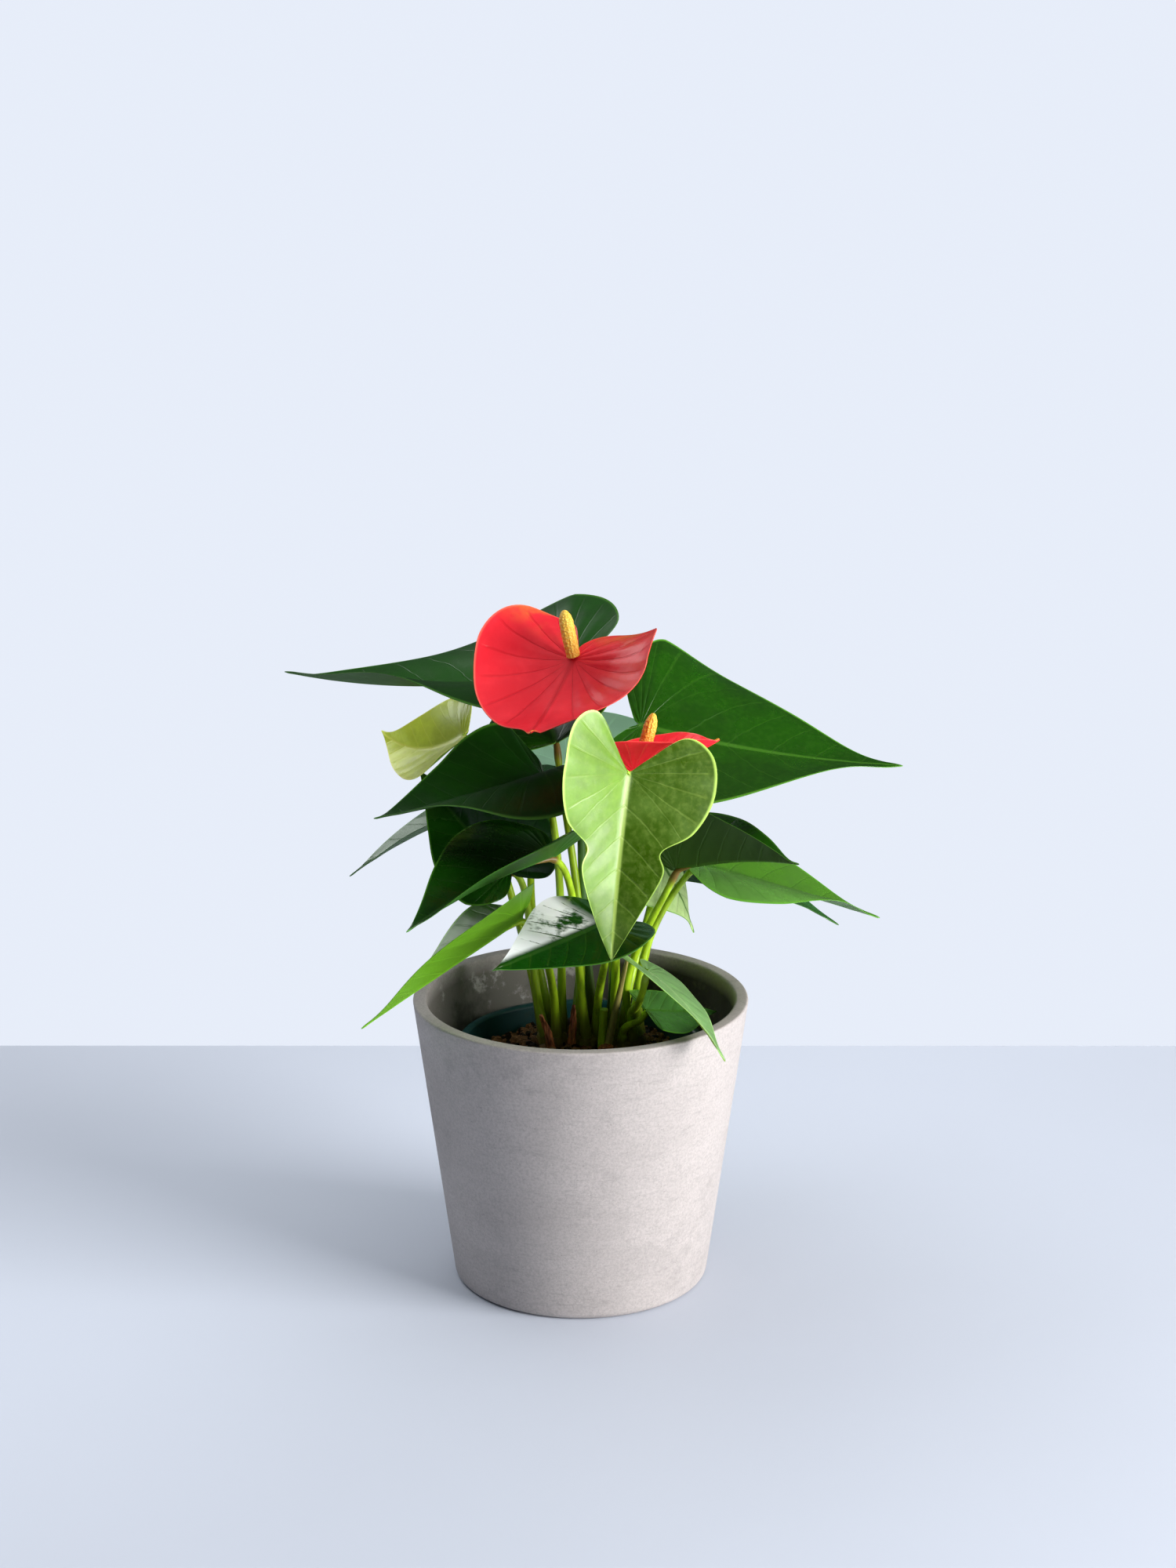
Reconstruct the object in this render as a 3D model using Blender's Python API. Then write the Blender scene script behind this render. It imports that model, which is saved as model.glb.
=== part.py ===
"""Potted anthurium: a tapered planter, a nursery pot of potting mix inside it, and the plant.

The tables of sizes are in millimetres and degrees, with +X to the right, +Y to the back and
+Z up. The origin is the middle of the planter's underside. MM turns a size into metres.
"""

from dataclasses import dataclass

import bpy
import numpy as np

MM = 0.001

# Planter: a plain cone with a flat rim.
PLANTER_TOP_RADIUS = 75.0
PLANTER_BASE_RADIUS = 57.2
PLANTER_HEIGHT = 131.0
PLANTER_WALL = 6.0
PLANTER_FLOOR = 6.0
PLANTER_RIM_ROUNDING = 0.8
PLANTER_FOOT_ROUNDING = 2.2

# Nursery pot: thin plastic with a turned-down lip, standing on the planter's floor.
GAP = 0.3
NURSERY_TOP_RADIUS = 53.0
NURSERY_BASE_RADIUS = 40.0
NURSERY_TOP = 110.0
NURSERY_WALL = 1.2
NURSERY_LIP_REACH = 2.0
NURSERY_LIP_DROP = 4.5
DRAIN_HOLES = 6
DRAIN_HOLE_RADIUS = 3.5
DRAIN_RING_RADIUS = 27.0
DRAIN_HOLE_SIDES = 12
DRAIN_FIRST_PLACE = 0.37

# Potting mix: level with a gentle mound under the crowns.
MIX_EDGE_HEIGHT = 100.0
MIX_MOUND_HEIGHT = 104.2
MIX_MOUND_MIDDLE = (4.0, 9.0)
MIX_MOUND_RADIUS = 26.0
MIX_FALL_WIDTH = 18.0
MIX_LUMP = 0.8
MIX_SEGMENTS = 30
MIX_RINGS = (8.0, 18.0, 28.0, 38.0)

# Crowns: the short stem bases that the stalks grow from.
CROWN_HEIGHT = 5.5
STALK_START = MIX_MOUND_HEIGHT + GAP + CROWN_HEIGHT + GAP

# Stalks and blades.
STALK_ROOT_RADIUS = 2.0
STALK_TIP_RADIUS = 1.5
STALK_SIDES = 8
STALK_RINGS = 11
STALK_END_GAP = 2.8
LEAF_THICKNESS = 0.7
SPATHE_THICKNESS = 0.8
BLADE_ROWS = 12
BLADE_COLUMNS = 4
FAN_SHARE = 0.42
MIDRIB_STEPS = 60
ROUND_SEGMENTS = 48
SHARP_ANGLE = 40.0


@dataclass
class Blade:
    """One leaf or spathe: a flat heart shape, then the bends that give it its pose.

    The midrib starts at base and runs along heading (turned by sweep on the way) and pitch
    (changed by bend). Roll tips the blade about its midrib, left side up, and twist adds to it
    by the tip. Each half, left then right, leaves the midrib at its fold angle and curls on.
    The lobes behind the base are scaled by lobes and bent up by lobe_bend.
    """

    name: str
    outline: str
    base: tuple
    length: float
    half_width: float
    heading: float
    sweep: float
    pitch: float
    bend: float
    roll: float
    twist: float
    fold: tuple
    curl: tuple
    lobes: tuple
    lobe_bend: float


@dataclass
class Crown:
    """A stem base: its middle, the ring that its stalks stand on, and the first one's angle."""

    middle: tuple
    ring_radius: float
    places: int
    first_angle: float


@dataclass
class Stalk:
    """A petiole or flower stalk from its place on a crown to its blade's base.

    Lower and upper are the two handles of its cubic curve.
    """

    blade: str
    crown: str
    place: int
    lower: tuple
    upper: tuple


# Outlines: the right half's edge from the base round the lobe to the tip, as shares of the
# length along the midrib and of the half width across it.
OUTLINES = {
    "heart": (
        (0.0, 0.0),
        (-0.10, 0.06),
        (-0.26, 0.38),
        (-0.17, 0.80),
        (0.04, 1.0),
        (0.30, 0.88),
        (0.55, 0.55),
        (0.78, 0.22),
        (0.92, 0.06),
        (1.0, 0.0),
    ),
    "trident": (
        (0.0, 0.0),
        (-0.12, 0.22),
        (-0.30, 0.62),
        (-0.20, 0.93),
        (0.06, 1.0),
        (0.28, 0.80),
        (0.40, 0.46),
        (0.52, 0.50),
        (0.76, 0.26),
        (1.0, 0.0),
    ),
    "spathe": (
        (0.0, 0.0),
        (-0.18, 0.04),
        (-0.42, 0.30),
        (-0.38, 0.80),
        (0.02, 1.06),
        (0.45, 0.86),
        (0.74, 0.46),
        (0.90, 0.14),
        (0.96, 0.05),
        (1.0, 0.0),
    ),
}

CROWNS = {
    "left": Crown(middle=(-13.0, 12.0), ring_radius=4.6, places=5, first_angle=10.0),
    "middle": Crown(middle=(2.5, 11.5), ring_radius=5.3, places=6, first_angle=30.0),
    "right": Crown(middle=(20.0, 9.0), ring_radius=7.1, places=9, first_angle=20.0),
}
CROWN_MARGIN = 2.6
CROWN_BEVEL = 0.6
CROWN_SIDES = 20

BLADES = (
    Blade(
        name="leaf_left_high",
        outline="heart",
        base=(-6, 25, 275),
        length=131,
        half_width=55,
        heading=169,
        sweep=1,
        pitch=-15,
        bend=24,
        roll=-24,
        twist=40,
        fold=(28, 23),
        curl=(-26, -40),
        lobes=(0.1, 0.7),
        lobe_bend=-4,
    ),
    Blade(
        name="leaf_right_large",
        outline="heart",
        base=(27, 37, 246),
        length=119,
        half_width=57,
        heading=-6,
        sweep=4,
        pitch=-14,
        bend=12,
        roll=43,
        twist=-39,
        fold=(16, 12),
        curl=(-51, 4),
        lobes=(0.4, 0.4),
        lobe_bend=8,
    ),
    Blade(
        name="leaf_behind_flower",
        outline="heart",
        base=(-11, 30, 240),
        length=84,
        half_width=31,
        heading=101,
        sweep=2,
        pitch=29,
        bend=-75,
        roll=-20,
        twist=0,
        fold=(15, 25),
        curl=(-9, 0),
        lobes=(0.1, 0.1),
        lobe_bend=0,
    ),
    Blade(
        name="leaf_back_pale",
        outline="heart",
        base=(-7, 69, 220),
        length=91,
        half_width=32,
        heading=19,
        sweep=0,
        pitch=-2,
        bend=-20,
        roll=-11,
        twist=0,
        fold=(14, 38),
        curl=(-10, 26),
        lobes=(0.9, 1.1),
        lobe_bend=-30,
    ),
    Blade(
        name="leaf_mid_left",
        outline="heart",
        base=(-16, -5, 233),
        length=77,
        half_width=47,
        heading=200,
        sweep=-8,
        pitch=-11,
        bend=3,
        roll=12,
        twist=-17,
        fold=(33, 21),
        curl=(-98, 19),
        lobes=(0.6, 0.2),
        lobe_bend=21,
    ),
    Blade(
        name="leaf_left_young",
        outline="heart",
        base=(-53, 42, 240),
        length=54,
        half_width=29,
        heading=153,
        sweep=-24,
        pitch=-36,
        bend=60,
        roll=-37,
        twist=-38,
        fold=(25, 29),
        curl=(5, -57),
        lobes=(0.5, 0.8),
        lobe_bend=40,
    ),
    Blade(
        name="leaf_left_hanging",
        outline="heart",
        base=(-21, 69, 205),
        length=98,
        half_width=31,
        heading=177,
        sweep=-1,
        pitch=-11,
        bend=-28,
        roll=-4,
        twist=-1,
        fold=(20, 17),
        curl=(-1, -8),
        lobes=(0.9, 0.9),
        lobe_bend=0,
    ),
    Blade(
        name="leaf_left_inner",
        outline="heart",
        base=(-32, 9, 186),
        length=64,
        half_width=32,
        heading=153,
        sweep=-17,
        pitch=36,
        bend=3,
        roll=-46,
        twist=4,
        fold=(36, 40),
        curl=(-15, -10),
        lobes=(0.5, 0.9),
        lobe_bend=-7,
    ),
    Blade(
        name="leaf_left_low_large",
        outline="heart",
        base=(-13, -22, 202),
        length=82,
        half_width=40,
        heading=219,
        sweep=6,
        pitch=-5,
        bend=-14,
        roll=-2,
        twist=-12,
        fold=(49, 25),
        curl=(-19, -30),
        lobes=(0.9, 0.4),
        lobe_bend=30,
    ),
    Blade(
        name="leaf_left_low_young",
        outline="heart",
        base=(-26, -25, 175),
        length=85,
        half_width=35,
        heading=217,
        sweep=-26,
        pitch=-22,
        bend=-12,
        roll=17,
        twist=-4,
        fold=(37, 3),
        curl=(-13, 21),
        lobes=(0.1, 0.3),
        lobe_bend=-1,
    ),
    Blade(
        name="leaf_front",
        outline="trident",
        base=(20, -52, 247),
        length=79,
        half_width=38,
        heading=-108,
        sweep=-1,
        pitch=-68,
        bend=-12,
        roll=-37,
        twist=24,
        fold=(14, 32),
        curl=(-8, -10),
        lobes=(0.8, 0.9),
        lobe_bend=-6,
    ),
    Blade(
        name="leaf_front_low",
        outline="heart",
        base=(10, -36, 176),
        length=61,
        half_width=28,
        heading=223,
        sweep=-8,
        pitch=-7,
        bend=-2,
        roll=-13,
        twist=-24,
        fold=(7, -1),
        curl=(7, 2),
        lobes=(0.9, 0.7),
        lobe_bend=-9,
    ),
    Blade(
        name="leaf_right_mid",
        outline="heart",
        base=(42, -10, 193),
        length=64,
        half_width=36,
        heading=-27,
        sweep=-16,
        pitch=19,
        bend=-15,
        roll=-14,
        twist=-11,
        fold=(36, 42),
        curl=(16, 22),
        lobes=(0.6, 0.6),
        lobe_bend=0,
    ),
    Blade(
        name="leaf_right_low",
        outline="heart",
        base=(52, 24, 185),
        length=94,
        half_width=44,
        heading=18,
        sweep=-8,
        pitch=-19,
        bend=-2,
        roll=5,
        twist=-9,
        fold=(19, 22),
        curl=(3, -45),
        lobes=(0.6, 0.6),
        lobe_bend=4,
    ),
    Blade(
        name="leaf_right_back_tip",
        outline="heart",
        base=(44, 86, 165),
        length=83,
        half_width=26,
        heading=-9,
        sweep=0,
        pitch=-4,
        bend=-27,
        roll=3,
        twist=0,
        fold=(14, 13),
        curl=(-10, -12),
        lobes=(0.9, 0.9),
        lobe_bend=0,
    ),
    Blade(
        name="leaf_right_inner",
        outline="heart",
        base=(35, 42, 183),
        length=39,
        half_width=30,
        heading=-21,
        sweep=7,
        pitch=-53,
        bend=-20,
        roll=8,
        twist=-20,
        fold=(-2, -2),
        curl=(-13, -44),
        lobes=(0.9, 0.9),
        lobe_bend=0,
    ),
    Blade(
        name="leaf_over_rim",
        outline="heart",
        base=(29, -35, 154),
        length=58,
        half_width=23,
        heading=-52,
        sweep=4,
        pitch=-11,
        bend=-34,
        roll=-24,
        twist=-8,
        fold=(9, 16),
        curl=(-22, -14),
        lobes=(0.9, 0.9),
        lobe_bend=15,
    ),
    Blade(
        name="leaf_in_pot",
        outline="heart",
        base=(29, -15, 129),
        length=37,
        half_width=21,
        heading=22,
        sweep=12,
        pitch=-11,
        bend=2,
        roll=0,
        twist=23,
        fold=(14, 4),
        curl=(-13, -23),
        lobes=(0.2, 0.2),
        lobe_bend=1,
    ),
    Blade(
        name="spathe_large",
        outline="spathe",
        base=(-3, -16, 288),
        length=56,
        half_width=42,
        heading=-122,
        sweep=22,
        pitch=-48,
        bend=52,
        roll=-3,
        twist=13,
        fold=(-10, -8),
        curl=(50, 51),
        lobes=(0.9, 0.9),
        lobe_bend=-46,
    ),
    Blade(
        name="spathe_small",
        outline="spathe",
        base=(23, -20, 240),
        length=40,
        half_width=28,
        heading=-13,
        sweep=13,
        pitch=12,
        bend=21,
        roll=-11,
        twist=9,
        fold=(26, 42),
        curl=(1, -28),
        lobes=(0.9, 0.9),
        lobe_bend=0,
    ),
)

STALKS = (
    Stalk(
        blade="leaf_mid_left",
        crown="left",
        place=0,
        lower=(-9, 7, 159),
        upper=(-7, -8, 198),
    ),
    Stalk(
        blade="leaf_left_hanging",
        crown="left",
        place=1,
        lower=(-26, 23, 158),
        upper=(-24, 69, 177),
    ),
    Stalk(
        blade="leaf_left_young",
        crown="left",
        place=2,
        lower=(-25, 17, 159),
        upper=(-42, 40, 198),
    ),
    Stalk(
        blade="leaf_left_inner",
        crown="left",
        place=3,
        lower=(-25, 9, 145),
        upper=(-20, 16, 184),
    ),
    Stalk(
        blade="leaf_left_low_young",
        crown="left",
        place=4,
        lower=(-12, 4, 141),
        upper=(-15, -20, 161),
    ),
    Stalk(
        blade="spathe_large",
        crown="middle",
        place=0,
        lower=(-5, 14, 185),
        upper=(4, 26, 254),
    ),
    Stalk(
        blade="leaf_left_high",
        crown="middle",
        place=1,
        lower=(4, 24, 164),
        upper=(4, 18, 258),
    ),
    Stalk(
        blade="leaf_back_pale",
        crown="middle",
        place=2,
        lower=(0, 31, 157),
        upper=(9, 64, 183),
    ),
    Stalk(
        blade="leaf_behind_flower",
        crown="middle",
        place=3,
        lower=(5, 8, 166),
        upper=(-7, 13, 201),
    ),
    Stalk(
        blade="leaf_left_low_large",
        crown="middle",
        place=4,
        lower=(-3, 1, 150),
        upper=(0, -13, 197),
    ),
    Stalk(
        blade="leaf_front_low",
        crown="middle",
        place=5,
        lower=(7, 3, 142),
        upper=(14, -29, 155),
    ),
    Stalk(
        blade="leaf_right_low",
        crown="right",
        place=0,
        lower=(22, 16, 144),
        upper=(37, 22, 168),
    ),
    Stalk(
        blade="leaf_right_back_tip",
        crown="right",
        place=1,
        lower=(28, 24, 147),
        upper=(36, 88, 140),
    ),
    Stalk(
        blade="leaf_right_inner",
        crown="right",
        place=2,
        lower=(22, 19, 142),
        upper=(36, 48, 159),
    ),
    Stalk(
        blade="leaf_right_large",
        crown="right",
        place=3,
        lower=(15, 17, 165),
        upper=(10, 52, 213),
    ),
    Stalk(
        blade="spathe_small",
        crown="right",
        place=4,
        lower=(17, 6, 163),
        upper=(18, -21, 203),
    ),
    Stalk(
        blade="leaf_front",
        crown="right",
        place=5,
        lower=(17, -4, 168),
        upper=(14, -20, 222),
    ),
    Stalk(
        blade="leaf_in_pot",
        crown="right",
        place=6,
        lower=(18, -1, 120),
        upper=(26, -16, 121),
    ),
    Stalk(
        blade="leaf_over_rim",
        crown="right",
        place=7,
        lower=(21, 2, 135),
        upper=(24, -34, 124),
    ),
    Stalk(
        blade="leaf_right_mid",
        crown="right",
        place=8,
        lower=(10, 14, 131),
        upper=(31, -5, 164),
    ),
)


# Spadices: the fleshy spike of each flower, from just above its spathe's base.
SPADICES = {
    "spadix_large": dict(foot=(-3.0, -15.0, 292.3), top=(-7.0, -13.0, 309.0), radius=3.1),
    "spadix_small": dict(foot=(26.0, -19.0, 246.0), top=(31.5, -18.0, 265.0), radius=2.9),
}
SPADIX_BOW = 1.6
SPADIX_RINGS = 9
SPADIX_SIDES = 12
SPADIX_SHOULDER = 0.7

# The new shoot, the cut stub and the dry sheaths between the stalks.
POINTED_RINGS = 7
POINTED_RISE = 1.5
SHOOT = dict(foot=(12.0, -1.0, 105.5), top=(21.0, -6.0, 151.0), radius=1.9)
STUB = dict(foot=(9.5, 2.0, 105.2), top=(10.5, 1.0, 124.0), radius=2.0)
SHEATHS = {
    "dry_sheath_left": dict(foot=(-13.0, 2.0, 105.0), top=(-18.0, -1.0, 122.0), radius=1.5),
    "dry_sheath_middle": dict(foot=(-4.0, 4.0, 105.0), top=(-3.0, 1.0, 126.0), radius=1.6),
    "dry_sheath_right": dict(foot=(8.0, -4.0, 106.2), top=(15.5, -8.0, 109.0), radius=1.3),
}

COLOURS = {
    "planter_stone": ((0.42, 0.39, 0.38, 1.0), 0.72),
    "nursery_plastic": ((0.01, 0.06, 0.06, 1.0), 0.45),
    "potting_mix": ((0.16, 0.09, 0.04, 1.0), 0.95),
    "stem_base": ((0.20, 0.26, 0.06, 1.0), 0.5),
    "leaf_dark": ((0.01, 0.09, 0.02, 1.0), 0.3),
    "leaf_mid": ((0.03, 0.16, 0.03, 1.0), 0.35),
    "leaf_young": ((0.22, 0.42, 0.05, 1.0), 0.35),
    "stalk_green": ((0.20, 0.34, 0.05, 1.0), 0.4),
    "spathe_red": ((0.75, 0.04, 0.06, 1.0), 0.28),
    "spadix_yellow": ((0.85, 0.55, 0.08, 1.0), 0.55),
    "dry_brown": ((0.22, 0.07, 0.02, 1.0), 0.8),
}
YOUNG_LEAVES = ("leaf_left_young", "leaf_left_low_young", "leaf_front", "leaf_over_rim")
MID_LEAVES = ("leaf_right_large", "leaf_right_low", "leaf_right_inner", "leaf_in_pot")


def clear_scene():
    for item in list(bpy.data.objects):
        bpy.data.objects.remove(item)


def material(name):
    """The named finish as a Principled material, made once."""
    found = bpy.data.materials.get(name)
    if found:
        return found
    colour, roughness = COLOURS[name]
    made = bpy.data.materials.new(name)
    made.use_nodes = True
    shader = made.node_tree.nodes["Principled BSDF"]
    shader.inputs["Base Color"].default_value = colour
    shader.inputs["Roughness"].default_value = roughness
    shader.inputs["Metallic"].default_value = 0.0
    return made


def solid(name, points, faces, finish):
    """A closed mesh object from points in millimetres, with its faces turned outwards."""
    points = np.asarray(points, float)
    if enclosed_volume(points, faces) < 0:
        faces = [tuple(reversed(face)) for face in faces]
    mesh = bpy.data.meshes.new(name)
    mesh.from_pydata((points * MM).tolist(), [], [list(face) for face in faces])
    mesh.update()
    mesh.shade_smooth()
    mesh.set_sharp_from_angle(angle=np.radians(SHARP_ANGLE))
    mesh.materials.append(material(finish))
    made = bpy.data.objects.new(name, mesh)
    bpy.context.scene.collection.objects.link(made)
    return made


def enclosed_volume(points, faces):
    """Six times the signed volume: positive when the faces point outwards."""
    total = 0.0
    for face in faces:
        first = points[face[0]]
        for second, third in zip(face[1:-1], face[2:]):
            total += np.dot(first, np.cross(points[second], points[third]))
    return total


def level_ring(middle, radius, height, angles):
    """Points of a level circle at the given angles."""
    x = middle[0] + radius * np.cos(angles)
    y = middle[1] + radius * np.sin(angles)
    return np.stack([x, y, np.full(len(angles), height)], 1)


def turned(name, profile, finish, segments=ROUND_SEGMENTS):
    """A solid of revolution about Z: the profile of (radius, height) starts and ends at radius 0."""
    angles = np.linspace(0, 2 * np.pi, segments, endpoint=False)
    points = [(0.0, 0.0, profile[0][1])]
    for radius, height in profile[1:-1]:
        points.extend(level_ring((0.0, 0.0), radius, height, angles))
    points.append((0.0, 0.0, profile[-1][1]))
    last = len(points) - 1
    faces = []
    for i in range(segments):
        j = (i + 1) % segments
        faces.append((0, 1 + i, 1 + j))
        for ring in range(len(profile) - 3):
            low = 1 + ring * segments
            high = low + segments
            faces.append((low + i, high + i, high + j, low + j))
        low = last - segments
        faces.append((last, low + j, low + i))
    return solid(name, points, faces, finish)


def planter_radius(height):
    """Outside radius of the planter at a height."""
    share = height / PLANTER_HEIGHT
    return PLANTER_BASE_RADIUS + (PLANTER_TOP_RADIUS - PLANTER_BASE_RADIUS) * share


def planter():
    inner_floor = planter_radius(PLANTER_FLOOR) - PLANTER_WALL
    inner_top = PLANTER_TOP_RADIUS - PLANTER_WALL
    rim = PLANTER_RIM_ROUNDING
    foot = PLANTER_FOOT_ROUNDING
    profile = (
        (0.0, PLANTER_FLOOR),
        (inner_floor - 3.0, PLANTER_FLOOR),
        (inner_floor, PLANTER_FLOOR + 3.0),
        (inner_top, PLANTER_HEIGHT - rim),
        (inner_top + rim, PLANTER_HEIGHT),
        (PLANTER_TOP_RADIUS - rim, PLANTER_HEIGHT),
        (PLANTER_TOP_RADIUS, PLANTER_HEIGHT - rim),
        (planter_radius(foot), foot),
        (PLANTER_BASE_RADIUS - 0.3 * foot, 0.3 * foot),
        (PLANTER_BASE_RADIUS - foot, 0.0),
        (0.0, 0.0),
    )
    return turned("planter", profile, "planter_stone")


def nursery_pot():
    bottom = PLANTER_FLOOR + GAP
    wall = NURSERY_WALL
    lip = NURSERY_TOP_RADIUS + NURSERY_LIP_REACH
    under_lip = NURSERY_TOP - NURSERY_LIP_DROP
    profile = (
        (0.0, bottom + wall),
        (NURSERY_BASE_RADIUS - wall, bottom + wall),
        (NURSERY_TOP_RADIUS - wall, NURSERY_TOP - wall),
        (NURSERY_TOP_RADIUS, NURSERY_TOP),
        (lip, NURSERY_TOP),
        (lip + 0.4, under_lip),
        (lip - 0.8, under_lip),
        (lip - 1.0, NURSERY_TOP - wall),
        (NURSERY_TOP_RADIUS + 0.2, NURSERY_TOP - 1.5 * wall),
        (NURSERY_BASE_RADIUS, bottom + 2.0),
        (NURSERY_BASE_RADIUS - 1.5, bottom),
        (0.0, bottom),
    )
    pot = turned("nursery_pot", profile, "nursery_plastic")
    cut = pot.modifiers.new("drain_holes", "BOOLEAN")
    cut.operation = "DIFFERENCE"
    cut.solver = "EXACT"
    cut.object = drain_cutter()
    return pot


def drain_cutter():
    """Short upright prisms through the nursery pot's floor, in a ring."""
    sides = DRAIN_HOLE_SIDES
    angles = np.linspace(0, 2 * np.pi, sides, endpoint=False)
    points = []
    faces = []
    for place in range(DRAIN_HOLES):
        turn = 2 * np.pi * (place + DRAIN_FIRST_PLACE) / DRAIN_HOLES
        middle = (DRAIN_RING_RADIUS * np.cos(turn), DRAIN_RING_RADIUS * np.sin(turn))
        start = len(points)
        for height in (PLANTER_FLOOR - 1.0, PLANTER_FLOOR + 3.0):
            points.extend(level_ring(middle, DRAIN_HOLE_RADIUS, height, angles))
        faces.append(tuple(start + i for i in reversed(range(sides))))
        faces.append(tuple(start + sides + i for i in range(sides)))
        for i in range(sides):
            j = (i + 1) % sides
            faces.append((start + i, start + j, start + sides + j, start + sides + i))
    cutter = solid("drain_cutter", points, faces, "nursery_plastic")
    cutter.hide_render = True
    cutter.display_type = "WIRE"
    return cutter


def mix_height(x, y):
    """Top of the potting mix: a mound that falls away to the edge, with low lumps."""
    distance = np.hypot(x - MIX_MOUND_MIDDLE[0], y - MIX_MOUND_MIDDLE[1])
    fall = np.clip((distance - MIX_MOUND_RADIUS) / MIX_FALL_WIDTH, 0, 1)
    fall = fall * fall * (3 - 2 * fall)
    height = MIX_MOUND_HEIGHT + (MIX_EDGE_HEIGHT - MIX_MOUND_HEIGHT) * fall
    lumps = MIX_LUMP * np.sin(0.41 * x + 1.0) * np.sin(0.37 * y + 2.0) * fall
    return height + lumps


def potting_mix():
    """A plug that fills the nursery pot, on a polar grid with a lumpy top."""
    segments = MIX_SEGMENTS
    bottom = PLANTER_FLOOR + GAP + NURSERY_WALL + GAP
    slope = (NURSERY_TOP_RADIUS - NURSERY_BASE_RADIUS) / (NURSERY_TOP - bottom)
    clear = NURSERY_WALL + 2 * GAP
    bottom_radius = NURSERY_BASE_RADIUS - clear - GAP
    top_radius = bottom_radius + slope * (MIX_EDGE_HEIGHT - bottom)
    angles = np.linspace(0, 2 * np.pi, segments, endpoint=False)
    points = [(0.0, 0.0, mix_height(0.0, 0.0))]
    rings = (*MIX_RINGS, top_radius)
    for radius in rings:
        x = radius * np.cos(angles)
        y = radius * np.sin(angles)
        points.extend(np.stack([x, y, mix_height(x, y)], 1))
    points.extend(level_ring((0.0, 0.0), bottom_radius, bottom, angles))
    points.append((0.0, 0.0, bottom))
    last = len(points) - 1
    faces = []
    for i in range(segments):
        j = (i + 1) % segments
        faces.append((0, 1 + i, 1 + j))
        for ring in range(len(rings)):
            low = 1 + ring * segments
            high = low + segments
            faces.append((low + i, high + i, high + j, low + j))
        faces.append((last, last - segments + j, last - segments + i))
    return solid("potting_mix", points, faces, "potting_mix")


def crown_solid(name, crown):
    """A low stub with a flat top that the stalks stand on."""
    sides = CROWN_SIDES
    radius = crown.ring_radius + CROWN_MARGIN
    floor = MIX_MOUND_HEIGHT + GAP
    levels = (
        (radius, floor),
        (radius, floor + CROWN_HEIGHT - CROWN_BEVEL),
        (radius - CROWN_BEVEL, floor + CROWN_HEIGHT),
    )
    angles = np.linspace(0, 2 * np.pi, sides, endpoint=False)
    points = []
    for level_radius, height in levels:
        points.extend(level_ring(crown.middle, level_radius, height, angles))
    faces = [tuple(reversed(range(sides))), tuple(range(2 * sides, 3 * sides))]
    for level in range(2):
        for i in range(sides):
            j = (i + 1) % sides
            low = level * sides
            faces.append((low + i, low + j, low + sides + j, low + sides + i))
    return solid(name, points, faces, "stem_base")


def spline(points, count):
    """A smooth curve through the points, evenly spread in their order (Catmull-Rom)."""
    points = np.asarray(points, float)
    spans = len(points) - 1
    padded = np.vstack([2 * points[0] - points[1], points, 2 * points[-1] - points[-2]])
    place = np.linspace(0, spans, count)
    index = np.minimum(place.astype(int), spans - 1)
    f = (place - index)[:, None]
    a, b, c, d = (padded[index + k] for k in range(4))
    square = (2 * a - 5 * b + 4 * c - d) * f**2
    cube = (3 * b - a - 3 * c + d) * f**3
    return 0.5 * (2 * b + (c - a) * f + square + cube)


def flat_half(blade, rows, columns):
    """One half of the flat blade as rows from midrib to edge.

    The first rows fan out from the base into the lobe. The others start along the midrib.
    """
    edge = spline(OUTLINES[blade.outline], rows)
    along = np.clip((np.linspace(0, 1, rows) - FAN_SHARE) / (1 - FAN_SHARE), 0, 1)
    across = np.linspace(0, 1, columns)
    x = along[:, None] * (1 - across) + edge[:, :1] * across
    y = edge[:, 1:] * across
    return x * blade.length, y * blade.half_width


def midrib_frame(blade, x):
    """Place, forward, left and up of the midrib at distances x from the base, by summing steps."""
    steps = MIDRIB_STEPS
    share = np.linspace(0, 1, steps + 1)
    frames = []
    for reach, sweep, bend, twist in (
        (blade.length, blade.sweep, blade.bend, blade.twist),
        (-0.5 * blade.length, 0.0, -blade.lobe_bend, 0.0),
    ):
        heading = np.radians(blade.heading + sweep * share)
        pitch = np.radians(blade.pitch + bend * share)
        roll = np.radians(blade.roll + twist * share)[:, None]
        forward = np.stack(
            [np.cos(heading) * np.cos(pitch), np.sin(heading) * np.cos(pitch), np.sin(pitch)], 1
        )
        level = np.stack([-np.sin(heading), np.cos(heading), 0 * heading], 1)
        left = level * np.cos(roll) + np.cross(forward, level) * np.sin(roll)
        middle = 0.5 * (forward[1:] + forward[:-1])
        place = np.vstack([np.zeros(3), np.cumsum(middle * reach / steps, 0)]) + blade.base
        frames.append((reach, place, forward, left))
    result = []
    for part in (1, 2, 3):
        values = []
        for frame in frames:
            track = frame[part]
            at = np.clip(x / frame[0], 0, 1)
            values.append(np.stack([np.interp(at, share, track[:, k]) for k in range(3)], -1))
        result.append(np.where((x >= 0)[..., None], values[0], values[1]))
    place, forward, left = result
    forward = forward / np.linalg.norm(forward, axis=-1, keepdims=True)
    left = left - forward * (left * forward).sum(-1, keepdims=True)
    left = left / np.linalg.norm(left, axis=-1, keepdims=True)
    return place, forward, left, np.cross(forward, left)


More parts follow.
